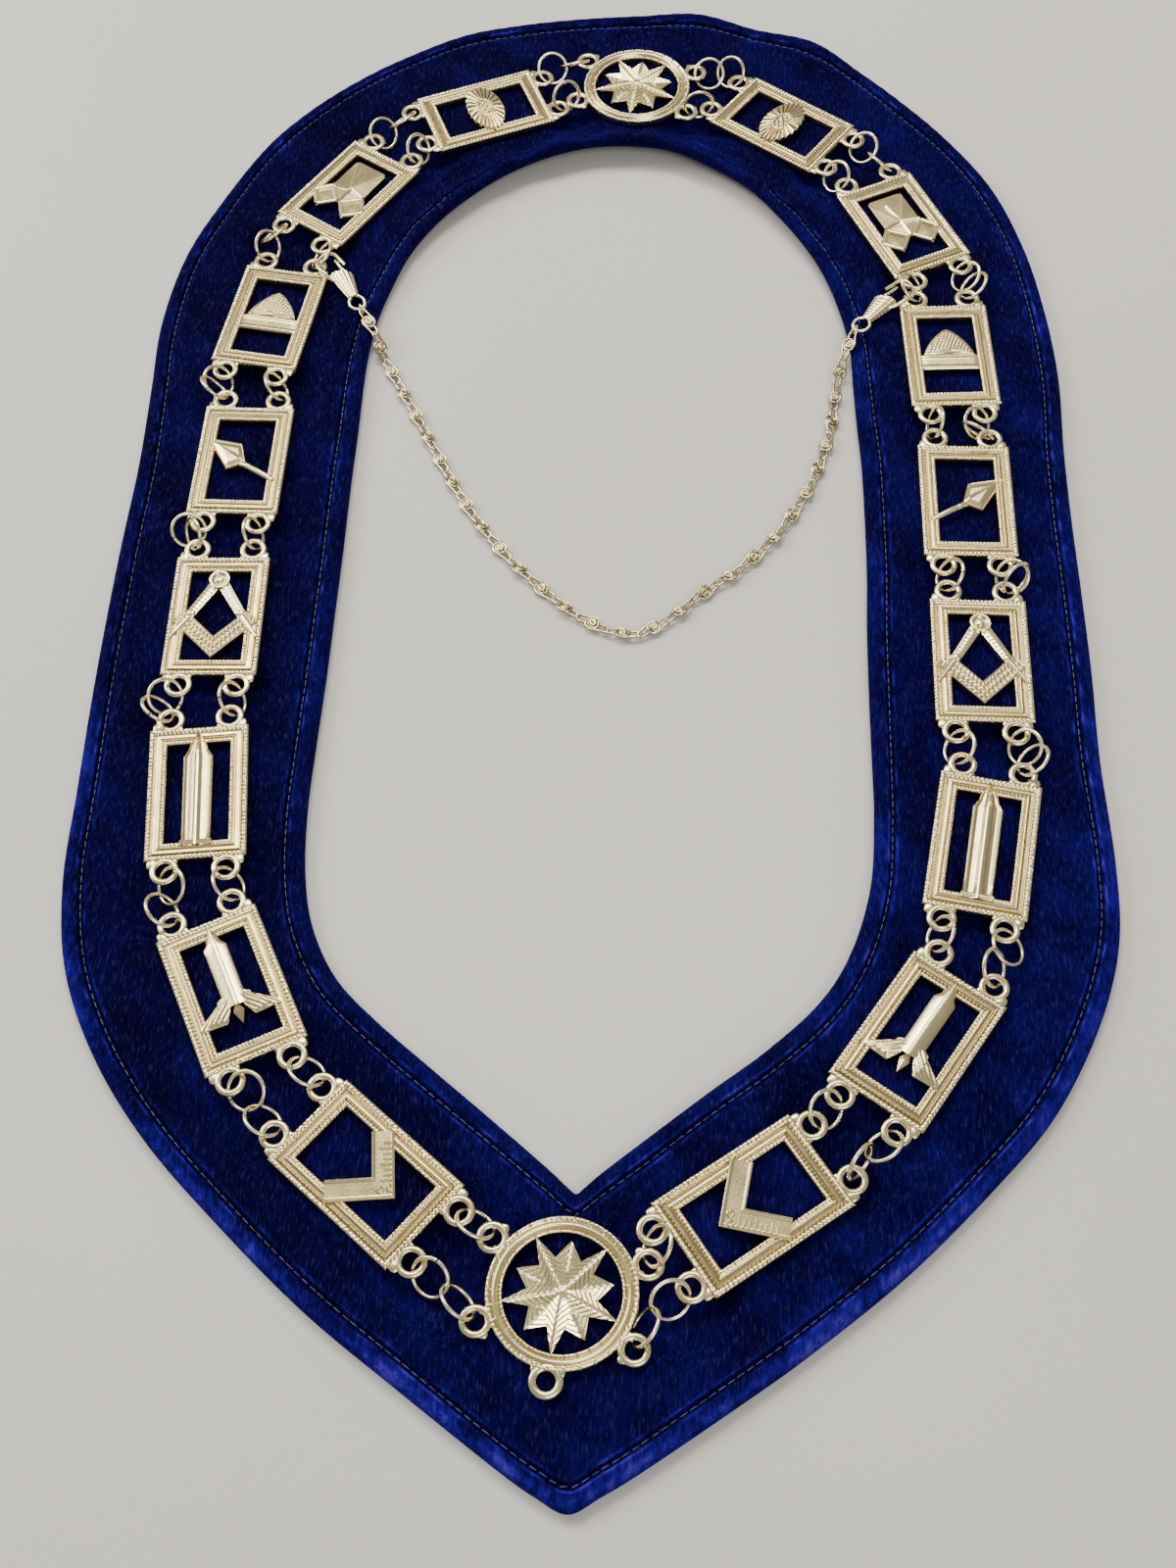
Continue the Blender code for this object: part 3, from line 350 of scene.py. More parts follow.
def capped(sections, tone_and_shade):
    """Closed sections carried along a row, both ends closed on their middles."""
    columns = sections.shape[1]
    first = np.repeat(sections[:1].mean(axis=1, keepdims=True), columns, axis=1)
    last = np.repeat(sections[-1:].mean(axis=1, keepdims=True), columns, axis=1)
    return np.concatenate((first, sections, last)), tone_and_shade, False, True


def polygon(corners, per_side):
    """Corners with evenly spaced points along each side between them."""
    corners = np.array(corners, dtype=float)
    t = np.linspace(0.0, 1.0, per_side, endpoint=False)[None, :, None]
    return (corners[:, None] * (1 - t) + np.roll(corners, -1, axis=0)[:, None] * t).reshape(-1, 2)


def cavity(z, level, gain=2.2):
    """Painted shade and highlight on metal: lighter where the height stands above its
    neighbours' mean, darker in its hollows.

    The neighbours are the nearest rows and columns on each side. Columns run on round the
    piece, and the first and last rows repeat outward.
    """
    steps = range(1, PAINTED_SHADE_REACH + 1)
    rows = np.pad(z, ((PAINTED_SHADE_REACH, PAINTED_SHADE_REACH), (0, 0)), mode="edge")
    total = sum(np.roll(rows, step, axis=0) + np.roll(rows, -step, axis=0) for step in steps)
    total = total[PAINTED_SHADE_REACH:-PAINTED_SHADE_REACH]
    total = total + sum(np.roll(z, step, axis=1) + np.roll(z, -step, axis=1) for step in steps)
    return clamp(level + gain * (z - total / (4.0 * PAINTED_SHADE_REACH)))


def relief(outline, centre, low, rim, rise, rings, level=0.5):
    """Raised boss: walls up an outline, then rings drawn in to the centre.

    A ring's points lie r of the way out from the centre, for r from 1 to 0, and their height is
    rim + rise(r, u, v), with u and v the point's own place. The level sets the mean of the
    painted shade on its face, and its walls get a darker painted shade.
    """
    outline = np.asarray(outline, dtype=float)
    centre = np.asarray(centre, dtype=float)
    r = np.linspace(1.0, 0.0, rings)[:, None]
    flat = centre + r[..., None] * (outline - centre)
    height = rim + rise(r, flat[..., 0], flat[..., 1]) + 0 * flat[..., 0]
    top = np.dstack((flat, height))
    foot = np.dstack((outline[None], np.full((1, len(outline)), low)))
    wall = np.dstack((outline[None], top[:1, :, 2]))
    base = np.broadcast_to(np.append(centre, low), foot.shape)
    edge = np.zeros((1, len(outline)))
    # Painted shade: darkest at the foot, dark on the wall, and on the face by its hollows.
    shade = np.concatenate((edge, edge, edge + 0.35, cavity(top[..., 2], level)))
    return np.concatenate((base, foot, wall, top)), shade, False, True


def gable(start, end, width_start, width_end, low, rim, ridge):
    """Straight bar with a ridged top, tapering from start to end, closed at both ends."""
    start = np.array(start, dtype=float)
    end = np.array(end, dtype=float)
    side = np.array([start[1] - end[1], end[0] - start[0]]) / np.linalg.norm(end - start)
    shoulder = (rim + 2 * ridge) / 3
    profile = ((0.5, low), (0.5, rim), (0.2, shoulder), (0.0, ridge),
               (-0.2, shoulder), (-0.5, rim), (-0.5, low))
    sections = [[(*(spot + side * width * across), height) for across, height in profile]
                for spot, width in ((start, width_start), (end, width_end))]
    # The whole bar gets a light value: a painted highlight on its ridge.
    return capped(np.array(sections), 0.8)


def torus(x, y, z, radius, half_wide, half_thick, around=36, across=12):
    """Flattened ring lying level: an oval section carried round a circle."""
    a = full_turn(around)[:, None]
    b = full_turn(across)[None, :]
    r = radius + half_wide * np.cos(b)
    grid = np.dstack((x + r * np.cos(a), y + r * np.sin(a), z + half_thick * np.sin(b) + 0 * a))
    return grid, 0.6, True, True


def pebble(x, y, z, half_u, half_v, half_z):
    """Rounded lump: a sphere squared off a little and stretched along each axis."""
    def squared(value):
        return np.sign(value) * np.abs(value) ** 0.7

    a = full_turn(14)[None, :]
    b = np.linspace(-np.pi / 2, np.pi / 2, 8)[:, None]
    u = squared(np.cos(b)) * squared(np.cos(a))
    v = squared(np.cos(b)) * squared(np.sin(a))
    w = squared(np.sin(b)) + 0 * a
    return np.dstack((x + half_u * u, y + half_v * v, z + half_z * w)), 0.6, False, True


def swell(x, y, length, seed):
    """Gentle unevenness between about -1 and 1: seven plane waves of about one length, added."""
    rng = np.random.default_rng(seed)
    angles = rng.uniform(0, 2 * np.pi, 7)
    stretches = rng.uniform(0.7, 1.5, 7)
    phases = rng.uniform(0, 2 * np.pi, 7)
    total = 0.0
    for angle, stretch, phase in zip(angles, stretches, phases):
        across = x * np.cos(angle) + y * np.sin(angle)
        total = total + np.sin(2 * np.pi * across / (length * stretch) + phase)
    return total / 3.2


def bead(distance, pitch):
    """Row of beads: 1 on each bead's crown and 0 in the nick between two."""
    return np.sqrt(np.abs(np.cos(np.pi * distance / pitch)))


def bead_row(across, run, centre, half, rise, pitch, nick):
    """Half-round strip cut into beads along its run, down to a share of its height in a nick."""
    return rise * half_round(across, centre, half) * (nick + (1 - nick) * bead(run, pitch))


# Materials

def new_material(name, constants):
    """Material with one Principled shader, its named sockets set to constants."""
    material = bpy.data.materials.new(name)
    material.use_nodes = True
    shader = material.node_tree.nodes["Principled BSDF"]
    for socket, value in constants.items():
        shader.inputs[socket].default_value = value
    return material, material.node_tree, shader


def node(tree, kind, constants, **values):
    """A shader node with its properties and its sockets' constants set by name."""
    made = tree.nodes.new(kind)
    for key, value in values.items():
        setattr(made, key, value)
    for socket, value in constants.items():
        made.inputs[socket].default_value = value
    return made


def mark_of(tree):
    """The piece's tone with painted light and shade, written on its surface point by point."""
    return node(tree, "ShaderNodeAttribute", {}, attribute_name="tone_and_shade").outputs["Fac"]


def ramp(tree, source, stops):
    """Colour ramp from a factor, with stops of position and colour."""
    made = node(tree, "ShaderNodeValToRGB", {})
    for element, (position, colour) in zip(made.color_ramp.elements, (stops[0], stops[-1])):
        element.position = position
        element.color = (*colour, 1.0)
    for position, colour in stops[1:-1]:
        made.color_ramp.elements.new(position).color = (*colour, 1.0)
    tree.links.new(source, made.inputs["Fac"])
    return made.outputs["Color"]


def noise(tree, scale, detail=3.0, stretch=(1.0, 1.0, 1.0)):
    """Noise on the piece's own coordinates, stretched along its axes."""
    place = node(tree, "ShaderNodeTexCoord", {})
    turn = node(tree, "ShaderNodeMapping", {"Scale": stretch})
    made = node(tree, "ShaderNodeTexNoise", {"Scale": scale, "Detail": detail})
    tree.links.new(place.outputs["Object"], turn.inputs["Vector"])
    tree.links.new(turn.outputs["Vector"], made.inputs["Vector"])
    return made.outputs["Fac"]


def map_range(tree, source, low, high, to_low, to_high):
    """A factor moved from one range to another and kept inside it."""
    made = node(tree, "ShaderNodeMapRange", {
        "From Min": low, "From Max": high, "To Min": to_low, "To Max": to_high})
    tree.links.new(source, made.inputs["Value"])
    return made.outputs["Result"]


def bump(tree, shader, height, distance, strength):
    """Bump from a height, in metres at its full strength."""
    made = node(tree, "ShaderNodeBump", {"Strength": strength, "Distance": distance})
    tree.links.new(height, made.inputs["Height"])
    tree.links.new(made.outputs["Normal"], shader.inputs["Normal"])


def blend_factor(tree, first, second, share):
    """Two factors mixed by a fixed share of the second."""
    made = node(tree, "ShaderNodeMix", {"Factor": share}, data_type="FLOAT")
    tree.links.new(first, made.inputs["A"])
    tree.links.new(second, made.inputs["B"])
    return made.outputs["Result"]


def cast_metal(name, dark, middle, bright, polished, dull, grain):
    """Cast metal: darker in its hollows by painted shade, with a cloudy polish and a fine skin."""
    material, tree, shader = new_material(name, {"Metallic": 1.0})
    cloud = noise(tree, 180.0)
    shade = blend_factor(tree, mark_of(tree), cloud, 0.18)
    # The dark and bright stops are the painted shade and painted highlight colours.
    colour = ramp(tree, shade, ((0.12, dark), (0.42, middle), (0.8, bright)))
    tree.links.new(colour, shader.inputs["Base Color"])
    tree.links.new(map_range(tree, cloud, 0.3, 0.7, dull, polished), shader.inputs["Roughness"])
    bump(tree, shader, noise(tree, 1500.0), 0.0002, grain)
    return material


def velvet_material():
    """Deep blue pile: nearly black looking into it, blue where it is brushed, and lighter blue
    with painted light on its rolled edges.

    Fine fibres lighten and darken it, and a few stray ones catch the light as specks.
    """
    material, tree, shader = new_material("royal blue velvet", {
        "Roughness": 0.8,
        "Specular IOR Level": 0.02,
        "Sheen Weight": 0.17,
        "Sheen Roughness": 0.3,
        "Sheen Tint": (0.07, 0.0, 0.95, 1.0),
    })
    field_tone = noise(tree, 60.0, 6.0, (1.0, 0.5, 1.0))
    fibres = noise(tree, 1100.0, 3.0, (1.0, 0.3, 1.0))
    # The pile's own tone, carrying painted light on the rolled edges and painted shade in the seam.
    patches = blend_factor(tree, mark_of(tree), field_tone, 0.16)
    colour = ramp(tree, blend_factor(tree, patches, fibres, 0.34), (
        (0.3, (0.0006, 0.0, 0.009)),
        (0.42, (0.0016, 0.0, 0.028)),
        (0.52, (0.004, 0.0001, 0.066)),
        (0.63, (0.014, 0.001, 0.19)),
        (0.82, (0.06, 0.045, 0.38)),
    ))
    specks = map_range(tree, noise(tree, 2200.0, 1.0, (1.0, 0.18, 1.0)), 0.56, 1.3, 0.0, 1.0)
    light = node(tree, "ShaderNodeMix", {"B": (0.04, 0.032, 0.22, 1.0)}, data_type="RGBA")
    tree.links.new(specks, light.inputs["Factor"])
    tree.links.new(colour, light.inputs["A"])
    tree.links.new(light.outputs["Result"], shader.inputs["Base Color"])
    pile = blend_factor(tree, noise(tree, 1500.0, 2.0), noise(tree, 260.0), 0.4)
    bump(tree, shader, pile, 0.0009, 0.9)
    return material


def thread_material():
    """Blue sewing thread, a little lighter than the velvet."""
    constants = {"Roughness": 0.6, "Sheen Weight": 0.4}
    material, tree, shader = new_material("blue sewing thread", constants)
    stops = ((0.35, (0.02, 0.022, 0.12)), (0.65, (0.1, 0.105, 0.36)))
    colour = ramp(tree, noise(tree, 700.0), stops)
    tree.links.new(colour, shader.inputs["Base Color"])
    bump(tree, shader, noise(tree, 2200.0, 1.0), 0.0002, 0.5)
    return material


def floor_material():
    """Plain pale table top with a barely uneven tone."""
    material, tree, shader = new_material("pale table", {"Roughness": 0.75})
    colour = ramp(tree, noise(tree, 3.0), ((0.3, (0.6, 0.59, 0.57)), (0.7, (0.64, 0.63, 0.61))))
    tree.links.new(colour, shader.inputs["Base Color"])
    return material


# Velvet

def velvet_curve():
    """Columns of the velvet's edges and lifts, smooth all the way round."""
    rows = LEFT_SECTIONS + TIP_SECTIONS[::-1] + RIGHT_SECTIONS[::-1]
    level = (0.0, 0.0)
    return catmull([(row + level)[:6] for row in rows], 14, closed=True)


def dimples(x, y):
    """How far the velvet is pressed in each gap between two links, from 0 to 1.

    Each hollow is flat in the middle and rises in a smooth step along the gap and across it.
    """
    pressed = np.zeros_like(x)
    for side, plates in ((-1.0, LEFT_PLATES), (1.0, RIGHT_PLATES)):
        for outer, inner in facing_eyes(side, plates):
            start = (outer[0] + inner[0]) / 2
            end = (outer[1] + inner[1]) / 2
            middle = (start + end) / 2
            ahead = unit(end - start)
            along = np.abs((x - middle[0]) * ahead[0] + (y - middle[1]) * ahead[1])
            across = np.abs((y - middle[1]) * ahead[0] - (x - middle[0]) * ahead[1])
            near = clamp((15.0 - along) / 8.0) * clamp((20.0 - across) / 6.0)
            pressed = np.maximum(pressed, near * near * (3 - 2 * near))
    return pressed


def velvet_height(curve, inset, x, y):
    """Height of the velvet's top at distances in from its outer edge, and how far it lifts.

    A rolled edge is a quarter oval, the padding settles behind it, and a stitched groove is
    sunk into it. Small gathers run along the edges, creases cross the back of the neck, low
    waves go over it all, a fold runs down from the inner point to the front medallion, and a
    hollow lies in each gap between links. Lifts raise an edge and fade inward.
    """
    width = np.linalg.norm(curve[:, 2:4] - curve[:, 0:2], axis=1)[:, None]
    nearest = np.minimum(inset, width - inset)
    rolled = 2.3 + 2.9 * np.sqrt(1.0 - clamp(1.0 - nearest / 3.2) ** 2)
    settled = 0.6 * clamp((nearest - 3.6) / 5.0)
    groove = 1.15 * hump(nearest, STITCH_INSET, 0.8)
    steps = np.linalg.norm(np.diff(curve[:, :2], axis=0, prepend=curve[:1, :2]), axis=1)
    along = np.cumsum(steps)[:, None]
    gathers = 0.16 * np.sin(2 * np.pi * along / 5.5 + 1.4 * swell(x, y, 30.0, 3))
    gathers = gathers * hump(nearest, 3.5, 3.0)
    back = clamp(curve[:, 5:6] / 6.0)
    creases = back * 0.9 * np.sin(2 * np.pi * along / 27.0 + swell(x, y, 60.0, 8))
    creases = creases * hump(width - inset, 3.0, 9.0)
    waves = 0.22 * swell(x, y, 46.0, 5) * clamp(nearest / 10.0)
    fold = 0.9 * hump(x, 5.6, 1.1) * clamp((y + 188.0) / 16.0) * (y < -150.0)
    top = rolled - settled - groove + gathers + creases + waves - fold
    top = top - DIMPLE_DEEP * dimples(x, y)
    outer_lift = curve[:, 4:5].clip(0) * clamp(1 - inset / LIFT_REACH) ** 1.3
    inner_lift = curve[:, 5:6].clip(0) * clamp(1 - (width - inset) / LIFT_REACH) ** 1.3
    return top, outer_lift + inner_lift


def velvet_mark(x, y, inset, width):
    """Tone of the pile from 0 to 1, with painted light and painted shade.

    Slow waves brush the field, which also lightens a little to the right and to the front. The
    rolled edges get painted light, most along the front, the seam gets painted shade, and
    ragged crushed lines run on both sides of it.
    """
    nearest = np.minimum(inset, width - inset)
    field_tone = 0.36 + 0.07 * swell(x, y, 34.0, 11) + 0.05 * swell(x, y * 0.4, 9.0, 12)
    # The field lightens a little towards the right and towards the front.
    field_tone = field_tone + 0.04 * (x - 20.0) / 100.0 - 0.03 * y / 200.0
    front = clamp((30.0 - y) / 220.0) * (inset < width / 2)
    uneven = 0.85 + 0.2 * swell(x, y, 9.0, 15) + 0.25 * swell(x, y, 3.6, 16)
    # Painted light on the rolled edges, strongest along the front.
    rolled = (0.1 + 0.3 * front) * uneven * hump(nearest, 1.4, 2.3)
    # Painted shade in the stitched seam groove.
    seam_shade = 0.22 * hump(nearest, STITCH_INSET, 0.8)
    ragged = clamp(0.55 + 0.6 * swell(x, y, 6.5, 14))
    crushed = 0.5 * hump(nearest, 4.2, 0.4) + 0.4 * hump(nearest, 6.7, 0.4)
    return clamp(field_tone + rolled - seam_shade + crushed * ragged)


def make_velvet(curve, material):
    """Padded velvet loop: the height function over its sections, closed by a flat underside."""
    outer = curve[:, None, 0:2]
    across = curve[:, None, 2:4] - outer
    width = np.linalg.norm(across, axis=2)
    inward = across / width[..., None]

    edge = np.array(TOP_INSETS)[None]
    middle = 12.0 + (width - 24.0) * np.linspace(0.0, 1.0, MIDDLE_COLUMNS)[None, :]
    inset = np.hstack((edge + 0 * width, middle, width - edge[:, ::-1]))
    flat = outer + inward * inset[..., None]
    x, y = flat[..., 0], flat[..., 1]
    top, lift = velvet_height(curve, inset, x, y)
    upper = np.dstack((x, y, top + lift))

    under = np.array(UNDER_INSETS)[None]
    under_inset = np.hstack((width - under, width / 2, under[:, ::-1] + 0 * width))
    under_flat = outer + inward * under_inset[..., None]
    _, under_lift = velvet_height(curve, under_inset, under_flat[..., 0], under_flat[..., 1])
    tuck = np.zeros(under_inset.shape[1])
    tuck[[0, -1]] = UNDER_TUCK
    lower = np.dstack((under_flat, under_lift + tuck))

    # Top: the pile's tone with painted light and shade; underside: the darkest tone.
    tone_and_shade = np.hstack((velvet_mark(x, y, inset, width), np.full(under_inset.shape, 0.3)))
    piece = add_piece(
        "velvet_backing", [(np.hstack((upper, lower)), tone_and_shade, True, True)], material,
        sharp=60.0, replaced=("velvet_collar",))


def make_stitches(curve, material):
    """Running stitch in both grooves: short bent threads, all one shape, set along each line.

    A thread is a five-sided tube with pointed ends, arched by half a sine wave.
    """
    across = curve[:, 2:4] - curve[:, 0:2]
    width = np.linalg.norm(across, axis=1, keepdims=True)
    t = np.linspace(0.0, 1.0, 7)
    swing = full_turn(5)
    fat = THREAD_RADIUS * np.array([0.0, 0.8, 1.0, 1.0, 1.0, 0.8, 0.0])[:, None]
    arch = STITCH_ARCH * np.sin(np.pi * t) - 0.02
    for name, inset in (("outer", STITCH_INSET + 0 * width), ("inner", width - STITCH_INSET)):
        flat = curve[:, 0:2] + across / width * inset
        top, lift = velvet_height(curve, inset, flat[:, :1], flat[:, 1:])
        line = np.column_stack((flat, top + lift))
        line = np.vstack((line, line[:1]))
        total = np.linalg.norm(np.diff(line, axis=0), axis=1).sum()
        spots = even(line, int(total / STITCH_PITCH) + 1)
        ahead = unit(np.roll(spots, -1, axis=0)[:-1] - spots[:-1])
        side = unit(np.cross(ahead, UP))
        up = np.cross(side, ahead)
        grid = (spots[:-1, None, None]
                + ahead[:, None, None] * ((t - 0.5) * STITCH_LENGTH)[None, :, None, None]
                + up[:, None, None] * arch[None, :, None, None]
                + side[:, None, None] * (fat * np.cos(swing))[None, ..., None]
                + up[:, None, None] * (fat * np.sin(swing))[None, ..., None])
        patches = [(stitch, 0.5, False, True) for stitch in grid]
        add_piece(f"stitches_{name}", patches, material, sharp=80.0)


# Cast links

def moulded_frame():
    """Picture-frame moulding with mitred corners.

    Across the bar a broad row of beads runs along the outer edge and a finer one along the
    window, with a low channel between two thin ridges in the middle. The rectangle is walked
    side by side, and beads are counted from the middle of each side.
    """
    d = np.concatenate((
        [0.0], np.linspace(0.02, 1.66, 7), [1.82, 1.9, 1.97, 2.05, 2.2, 2.7, 3.25],
        [3.42, 3.5, 3.57, 3.66], np.linspace(3.76, 5.08, 6), [BAR_WIDTH]))
    half_u = PLATE_WIDTH / 2 - d
    half_v = PLATE_LENGTH / 2 - d
    sides = []
    for way in (1, -1):
        t = np.linspace(-1.0, 1.0, 112, endpoint=False)[:, None]
        sides.append(np.dstack((way * half_u + 0 * t, way * t * half_v, t * half_v)))
        t = np.linspace(-1.0, 1.0, 76, endpoint=False)[:, None]
        sides.append(np.dstack((-way * t * half_u, way * half_v + 0 * t, t * half_u)))
    u, v, run = np.moveaxis(np.concatenate(sides), 2, 0)
    ridges = 0.5 * hump(d, 1.97, 0.12) + 0.5 * hump(d, 3.55, 0.12)
    channel = 0.3 * clamp(4 * (0.9 - np.abs(d - 2.76)))
    outer = bead_row(d, run, 0.84, 0.84, 0.78, 1.15, 0.3)
    inner = bead_row(d, run, 4.42, 0.67, 0.7, 1.0, 0.35)
    z = FACE_HEIGHT + ridges + channel + outer + inner
    z[:, [0, -1]] = 0.0
    # Painted highlight on the ridges and bead crowns, painted shade in the channel and between beads.
    shade = 0.1 + 0.9 * ridges + 0.35 * channel + 1.15 * outer ** 1.35 + 1.25 * inner ** 1.35
    return np.dstack((u, v, z)), clamp(shade), True, True


def eye(u, v):
    """Round eye for a jump ring."""
    return torus(u, v, EYE_HEIGHT, EYE_RADIUS, 0.88, 0.6)


def corner_eyes():
    """Four round eyes beyond the corners, each joined to the frame by two lumps of metal."""
    patches = []
    for side_u in (-1, 1):
        for side_v in (-1, 1):
            u = side_u * EYE_ACROSS
            v = side_v * (PLATE_LENGTH / 2 + EYE_BEYOND)
            patches.append(eye(u, v))
            patches.append(pebble(u + side_u * 3.3, v - side_v * 2.3, 1.25, 1.5, 1.5, 0.55))
            patches.append(pebble(u - side_u * 2.6, v - side_v * 2.9, 1.2, 0.9, 1.0, 0.5))
    return patches


def pyramid(height):
    """Rise of a low pyramid: straight up from the outline to the centre."""
    return lambda r, u, v: height * (1 - r)


def sunburst():
    """Oval boss with rays raised round a small face-like disc in its middle."""
    long, short = 10.2, 5.9
    a = full_turn(144)
    edge = 1.0 + 0.035 * np.cos(24 * a)
    outline = np.column_stack((long * edge * np.cos(a), short * edge * np.sin(a)))

    def rise(r, u, v):
        turn = np.arctan2(v / short, u / long)
        rays = 0.8 * np.abs(np.sin(12 * turn)) * clamp((r - 0.4) / 0.1) * (1.15 - 0.5 * r)
        ring = 0.6 * hump(r, 0.38, 0.07)
        face = 0.35 * clamp(1 - (r / 0.3) ** 2)
        brow = 0.4 * np.cos(2 * np.pi * u / 2.4) * np.cos(2 * np.pi * v / 1.9) * (r < 0.28)
        return 0.35 * (1 - r ** 2) + rays + ring + face + brow

    return [relief(outline, (0, 0), 0.3, 2.3, rise, 48)]


def three_squares():
    """Large square over two small ones set corner to corner, each with raised ridges."""
    large = ((-6.2, -0.6), (6.0, -0.6), (5.8, 11.6), (4.9, 12.7), (-5.2, 12.7), (-6.2, 11.8))
    middle = ((-6.3, 0.6), (6.3, 0.6), (0.0, -5.6))
    ray_ends = (
        (-5.2, 11.8), (-1.4, 9.0), (2.6, 8.0), (5.2, 11.8), (-6.0, 0.0), (6.0, 0.0), (0.0, -5.2))
    patches = [relief(polygon(large, 8), (0.0, 2.0), 0.35, 1.9, pyramid(0.3), 8, 0.36),
               relief(polygon(middle, 8), (0.0, -1.2), 0.35, 1.8, pyramid(0.2), 8, 0.4)]
    for end in ray_ends:
        patches.append(gable((0.0, 1.6), end, 1.3, 0.9, 1.6, 2.2, 2.65))
    for way in (-1.0, 1.0):
        corners = np.array(((0.1, -5.2), (6.0, 0.3), (10.6, -5.2), (5.1, -10.6))) * (way, 1.0)
        centre = np.mean(corners, axis=0)
        patches.append(relief(polygon(corners, 6), centre, 0.3, 1.55, pyramid(0.1), 6, 0.3))
        inset = centre + 0.85 * (corners - centre)
        for start, end in zip(inset, np.roll(inset, -1, axis=0)):
            patches.append(gable(start, end, 1.45, 1.45, 1.2, 2.1, 2.4))
    return patches


def beehive():
    """Domed hive wound with fine straw coils, on a bench across the window."""
    a = np.linspace(0.0, np.pi, 40)
    half = np.sign(np.cos(a)) * np.abs(np.cos(a)) ** 1.5
    dome = np.column_stack((7.6 * half, 10.2 * np.sin(a) ** 1.45))
    outline = polygon(np.vstack(([7.9, -0.2], dome, [-7.9, -0.2])), 4)
    bench = polygon(((-9.3, -5.7), (9.3, -5.7), (9.3, -0.1), (-9.3, -0.1)), 16)

    def straw(r, u, v):
        coils = 0.24 * np.abs(np.sin(np.pi * (v + 0.2 * u) / 1.15))
        hatch = 0.1 * np.sin(2 * np.pi * (u - 0.4 * v) / 1.1)
        return 0.65 * (1 - r ** 1.6) + (coils + hatch) * clamp(4 * (1 - r))

    def slab(r, u, v):
        lips = 0.3 * hump(v, -0.7, 0.5) + 0.3 * hump(v, -5.0, 0.5)
        return 0.25 * clamp(5 * (1 - r)) + lips

    return [relief(outline, (0.0, 2.6), 0.35, 1.75, straw, 52),
            relief(bench, (0.0, -2.9), 0.25, 1.6, slab, 12)]


def trowel():
    """Kite-shaped blade with a raised facet, its tang and a turned handle."""
    def facet(r, u, v):
        return 0.1 + np.clip((1 - r) * 1.5, 0, 0.75) + 0.35 * hump(r, 0.93, 0.04)

    blade = polygon(((-11.2, 7.9), (-0.4, 5.9), (1.5, -1.2), (-4.2, -3.8)), 8)
    route = ((0.2, -1.6, 1.8), (2.2, -2.7, 1.9), (6.0, -4.9, 2.0), (10.4, -7.7, 1.9))
    t = np.linspace(0, 1, 28)
    fat = 0.75 + 0.25 * np.sin(np.pi * t) + 0.18 * hump(t, 0.18, 0.05)
    return [relief(blade, (-2.4, 1.6), 0.3, 1.6, facet, 30),
            gable((-6.8, 4.6), (-0.6, 0.4), 0.4, 1.0, 2.2, 2.75, 3.15),
            tube(even(catmull(route, 8), 28), fat, 12, 0.8),
            pebble(0.9, -1.9, 1.7, 1.2, 1.0, 0.9)]


def mitred_arms(tip, width, reach, top, level, texture=None):
    """Flat square of two arms: a softly edged bar carried to the corner and up the other arm.

    Along each arm the section is the same; at the corner it lies on the mitre. The optional
    texture adds height by distance along an arm and across it, clear of the bar's rims. The
    level sets its mean painted shade.
    """
    low = 0.3
    across = np.concatenate(([0.0, 0.0], np.linspace(0.03, 0.97, 25), [1.0, 1.0]))
    crown = 0.92 + 0.13 * hump(np.abs(across - 0.5), 0.43, 0.045)
    crown[[0, -1]] = 0.0
    half_run = np.linspace(1, 0, 60, endpoint=False)
    run = np.concatenate((-half_run, [0.0], half_run[::-1]))[:, None]
    share = np.abs(run)
    step = width / math.sqrt(2.0)
    far_u = reach + step * (1 - across)
    far_v = tip + reach + step * (1 + across)
    corner_v = tip + across * width * math.sqrt(2.0)
    u = np.sign(run) * share * far_u
    v = (1 - share) * corner_v + share * far_v
    z = low + (top - low) * crown + 0 * u
    if texture is not None:
        inside = (across > 0.12) & (across < 0.88)
        z = z + texture(share * (reach + step) * 1.414, across * width) * inside
    # Painted shade, darker in the arm's hollows and lighter on its raised parts.
    shade = np.pad(cavity(z, level, 1.6), ((1, 1), (0, 0)), mode="edge")
    return capped(np.dstack((u, v, z)), shade)


def square_compasses():
    """Beaded square, corner down, under a pair of compasses with ribbed legs and a round head."""
    def beads(along, across):
        return 0.62 * np.abs(np.sin(np.pi * across / 1.67)) * bead(along, 1.75) - 0.24

    def dished(r, u, v):
        return 0.6 - 0.5 * hump(r, 0.5, 0.16)

    patches = [mitred_arms(-14.3, 5.0, 8.6, 2.3, 0.62, beads)]
    for way in (-1, 1):
        patches.append(gable((way * 1.4, 9.5), (way * 7.4, -0.6), 3.2, 2.6, 0.6, 2.55, 2.85))
        for k in range(8):
            spot = np.array((way * (2.1 + 0.65 * k), 8.4 - 1.1 * k))
            reach = np.array((1.1, 0.45 * way)) * (1.1 - 0.03 * k)
            patches.append(gable(spot - reach, spot + reach, 0.5, 0.5, 2.4, 2.75, 3.0))
        patches.append(gable((way * 7.2, -0.3), (way * 12.0, -7.4), 2.1, 0.8, 0.9, 2.3, 2.65))
        patches.append(pebble(way * 6.9, 0.2, 2.2, 1.3, 1.2, 0.85))
    a = full_turn(40)
    head = np.column_stack((2.85 * np.cos(a), 11.3 + 2.85 * np.sin(a)))
    patches.append(relief(head, (0, 11.3), 0.5, 2.8, dished, 14))
    patches.append(torus(0.0, 11.3, 3.25, 2.35, 0.35, 0.3, 24, 8))
    return patches


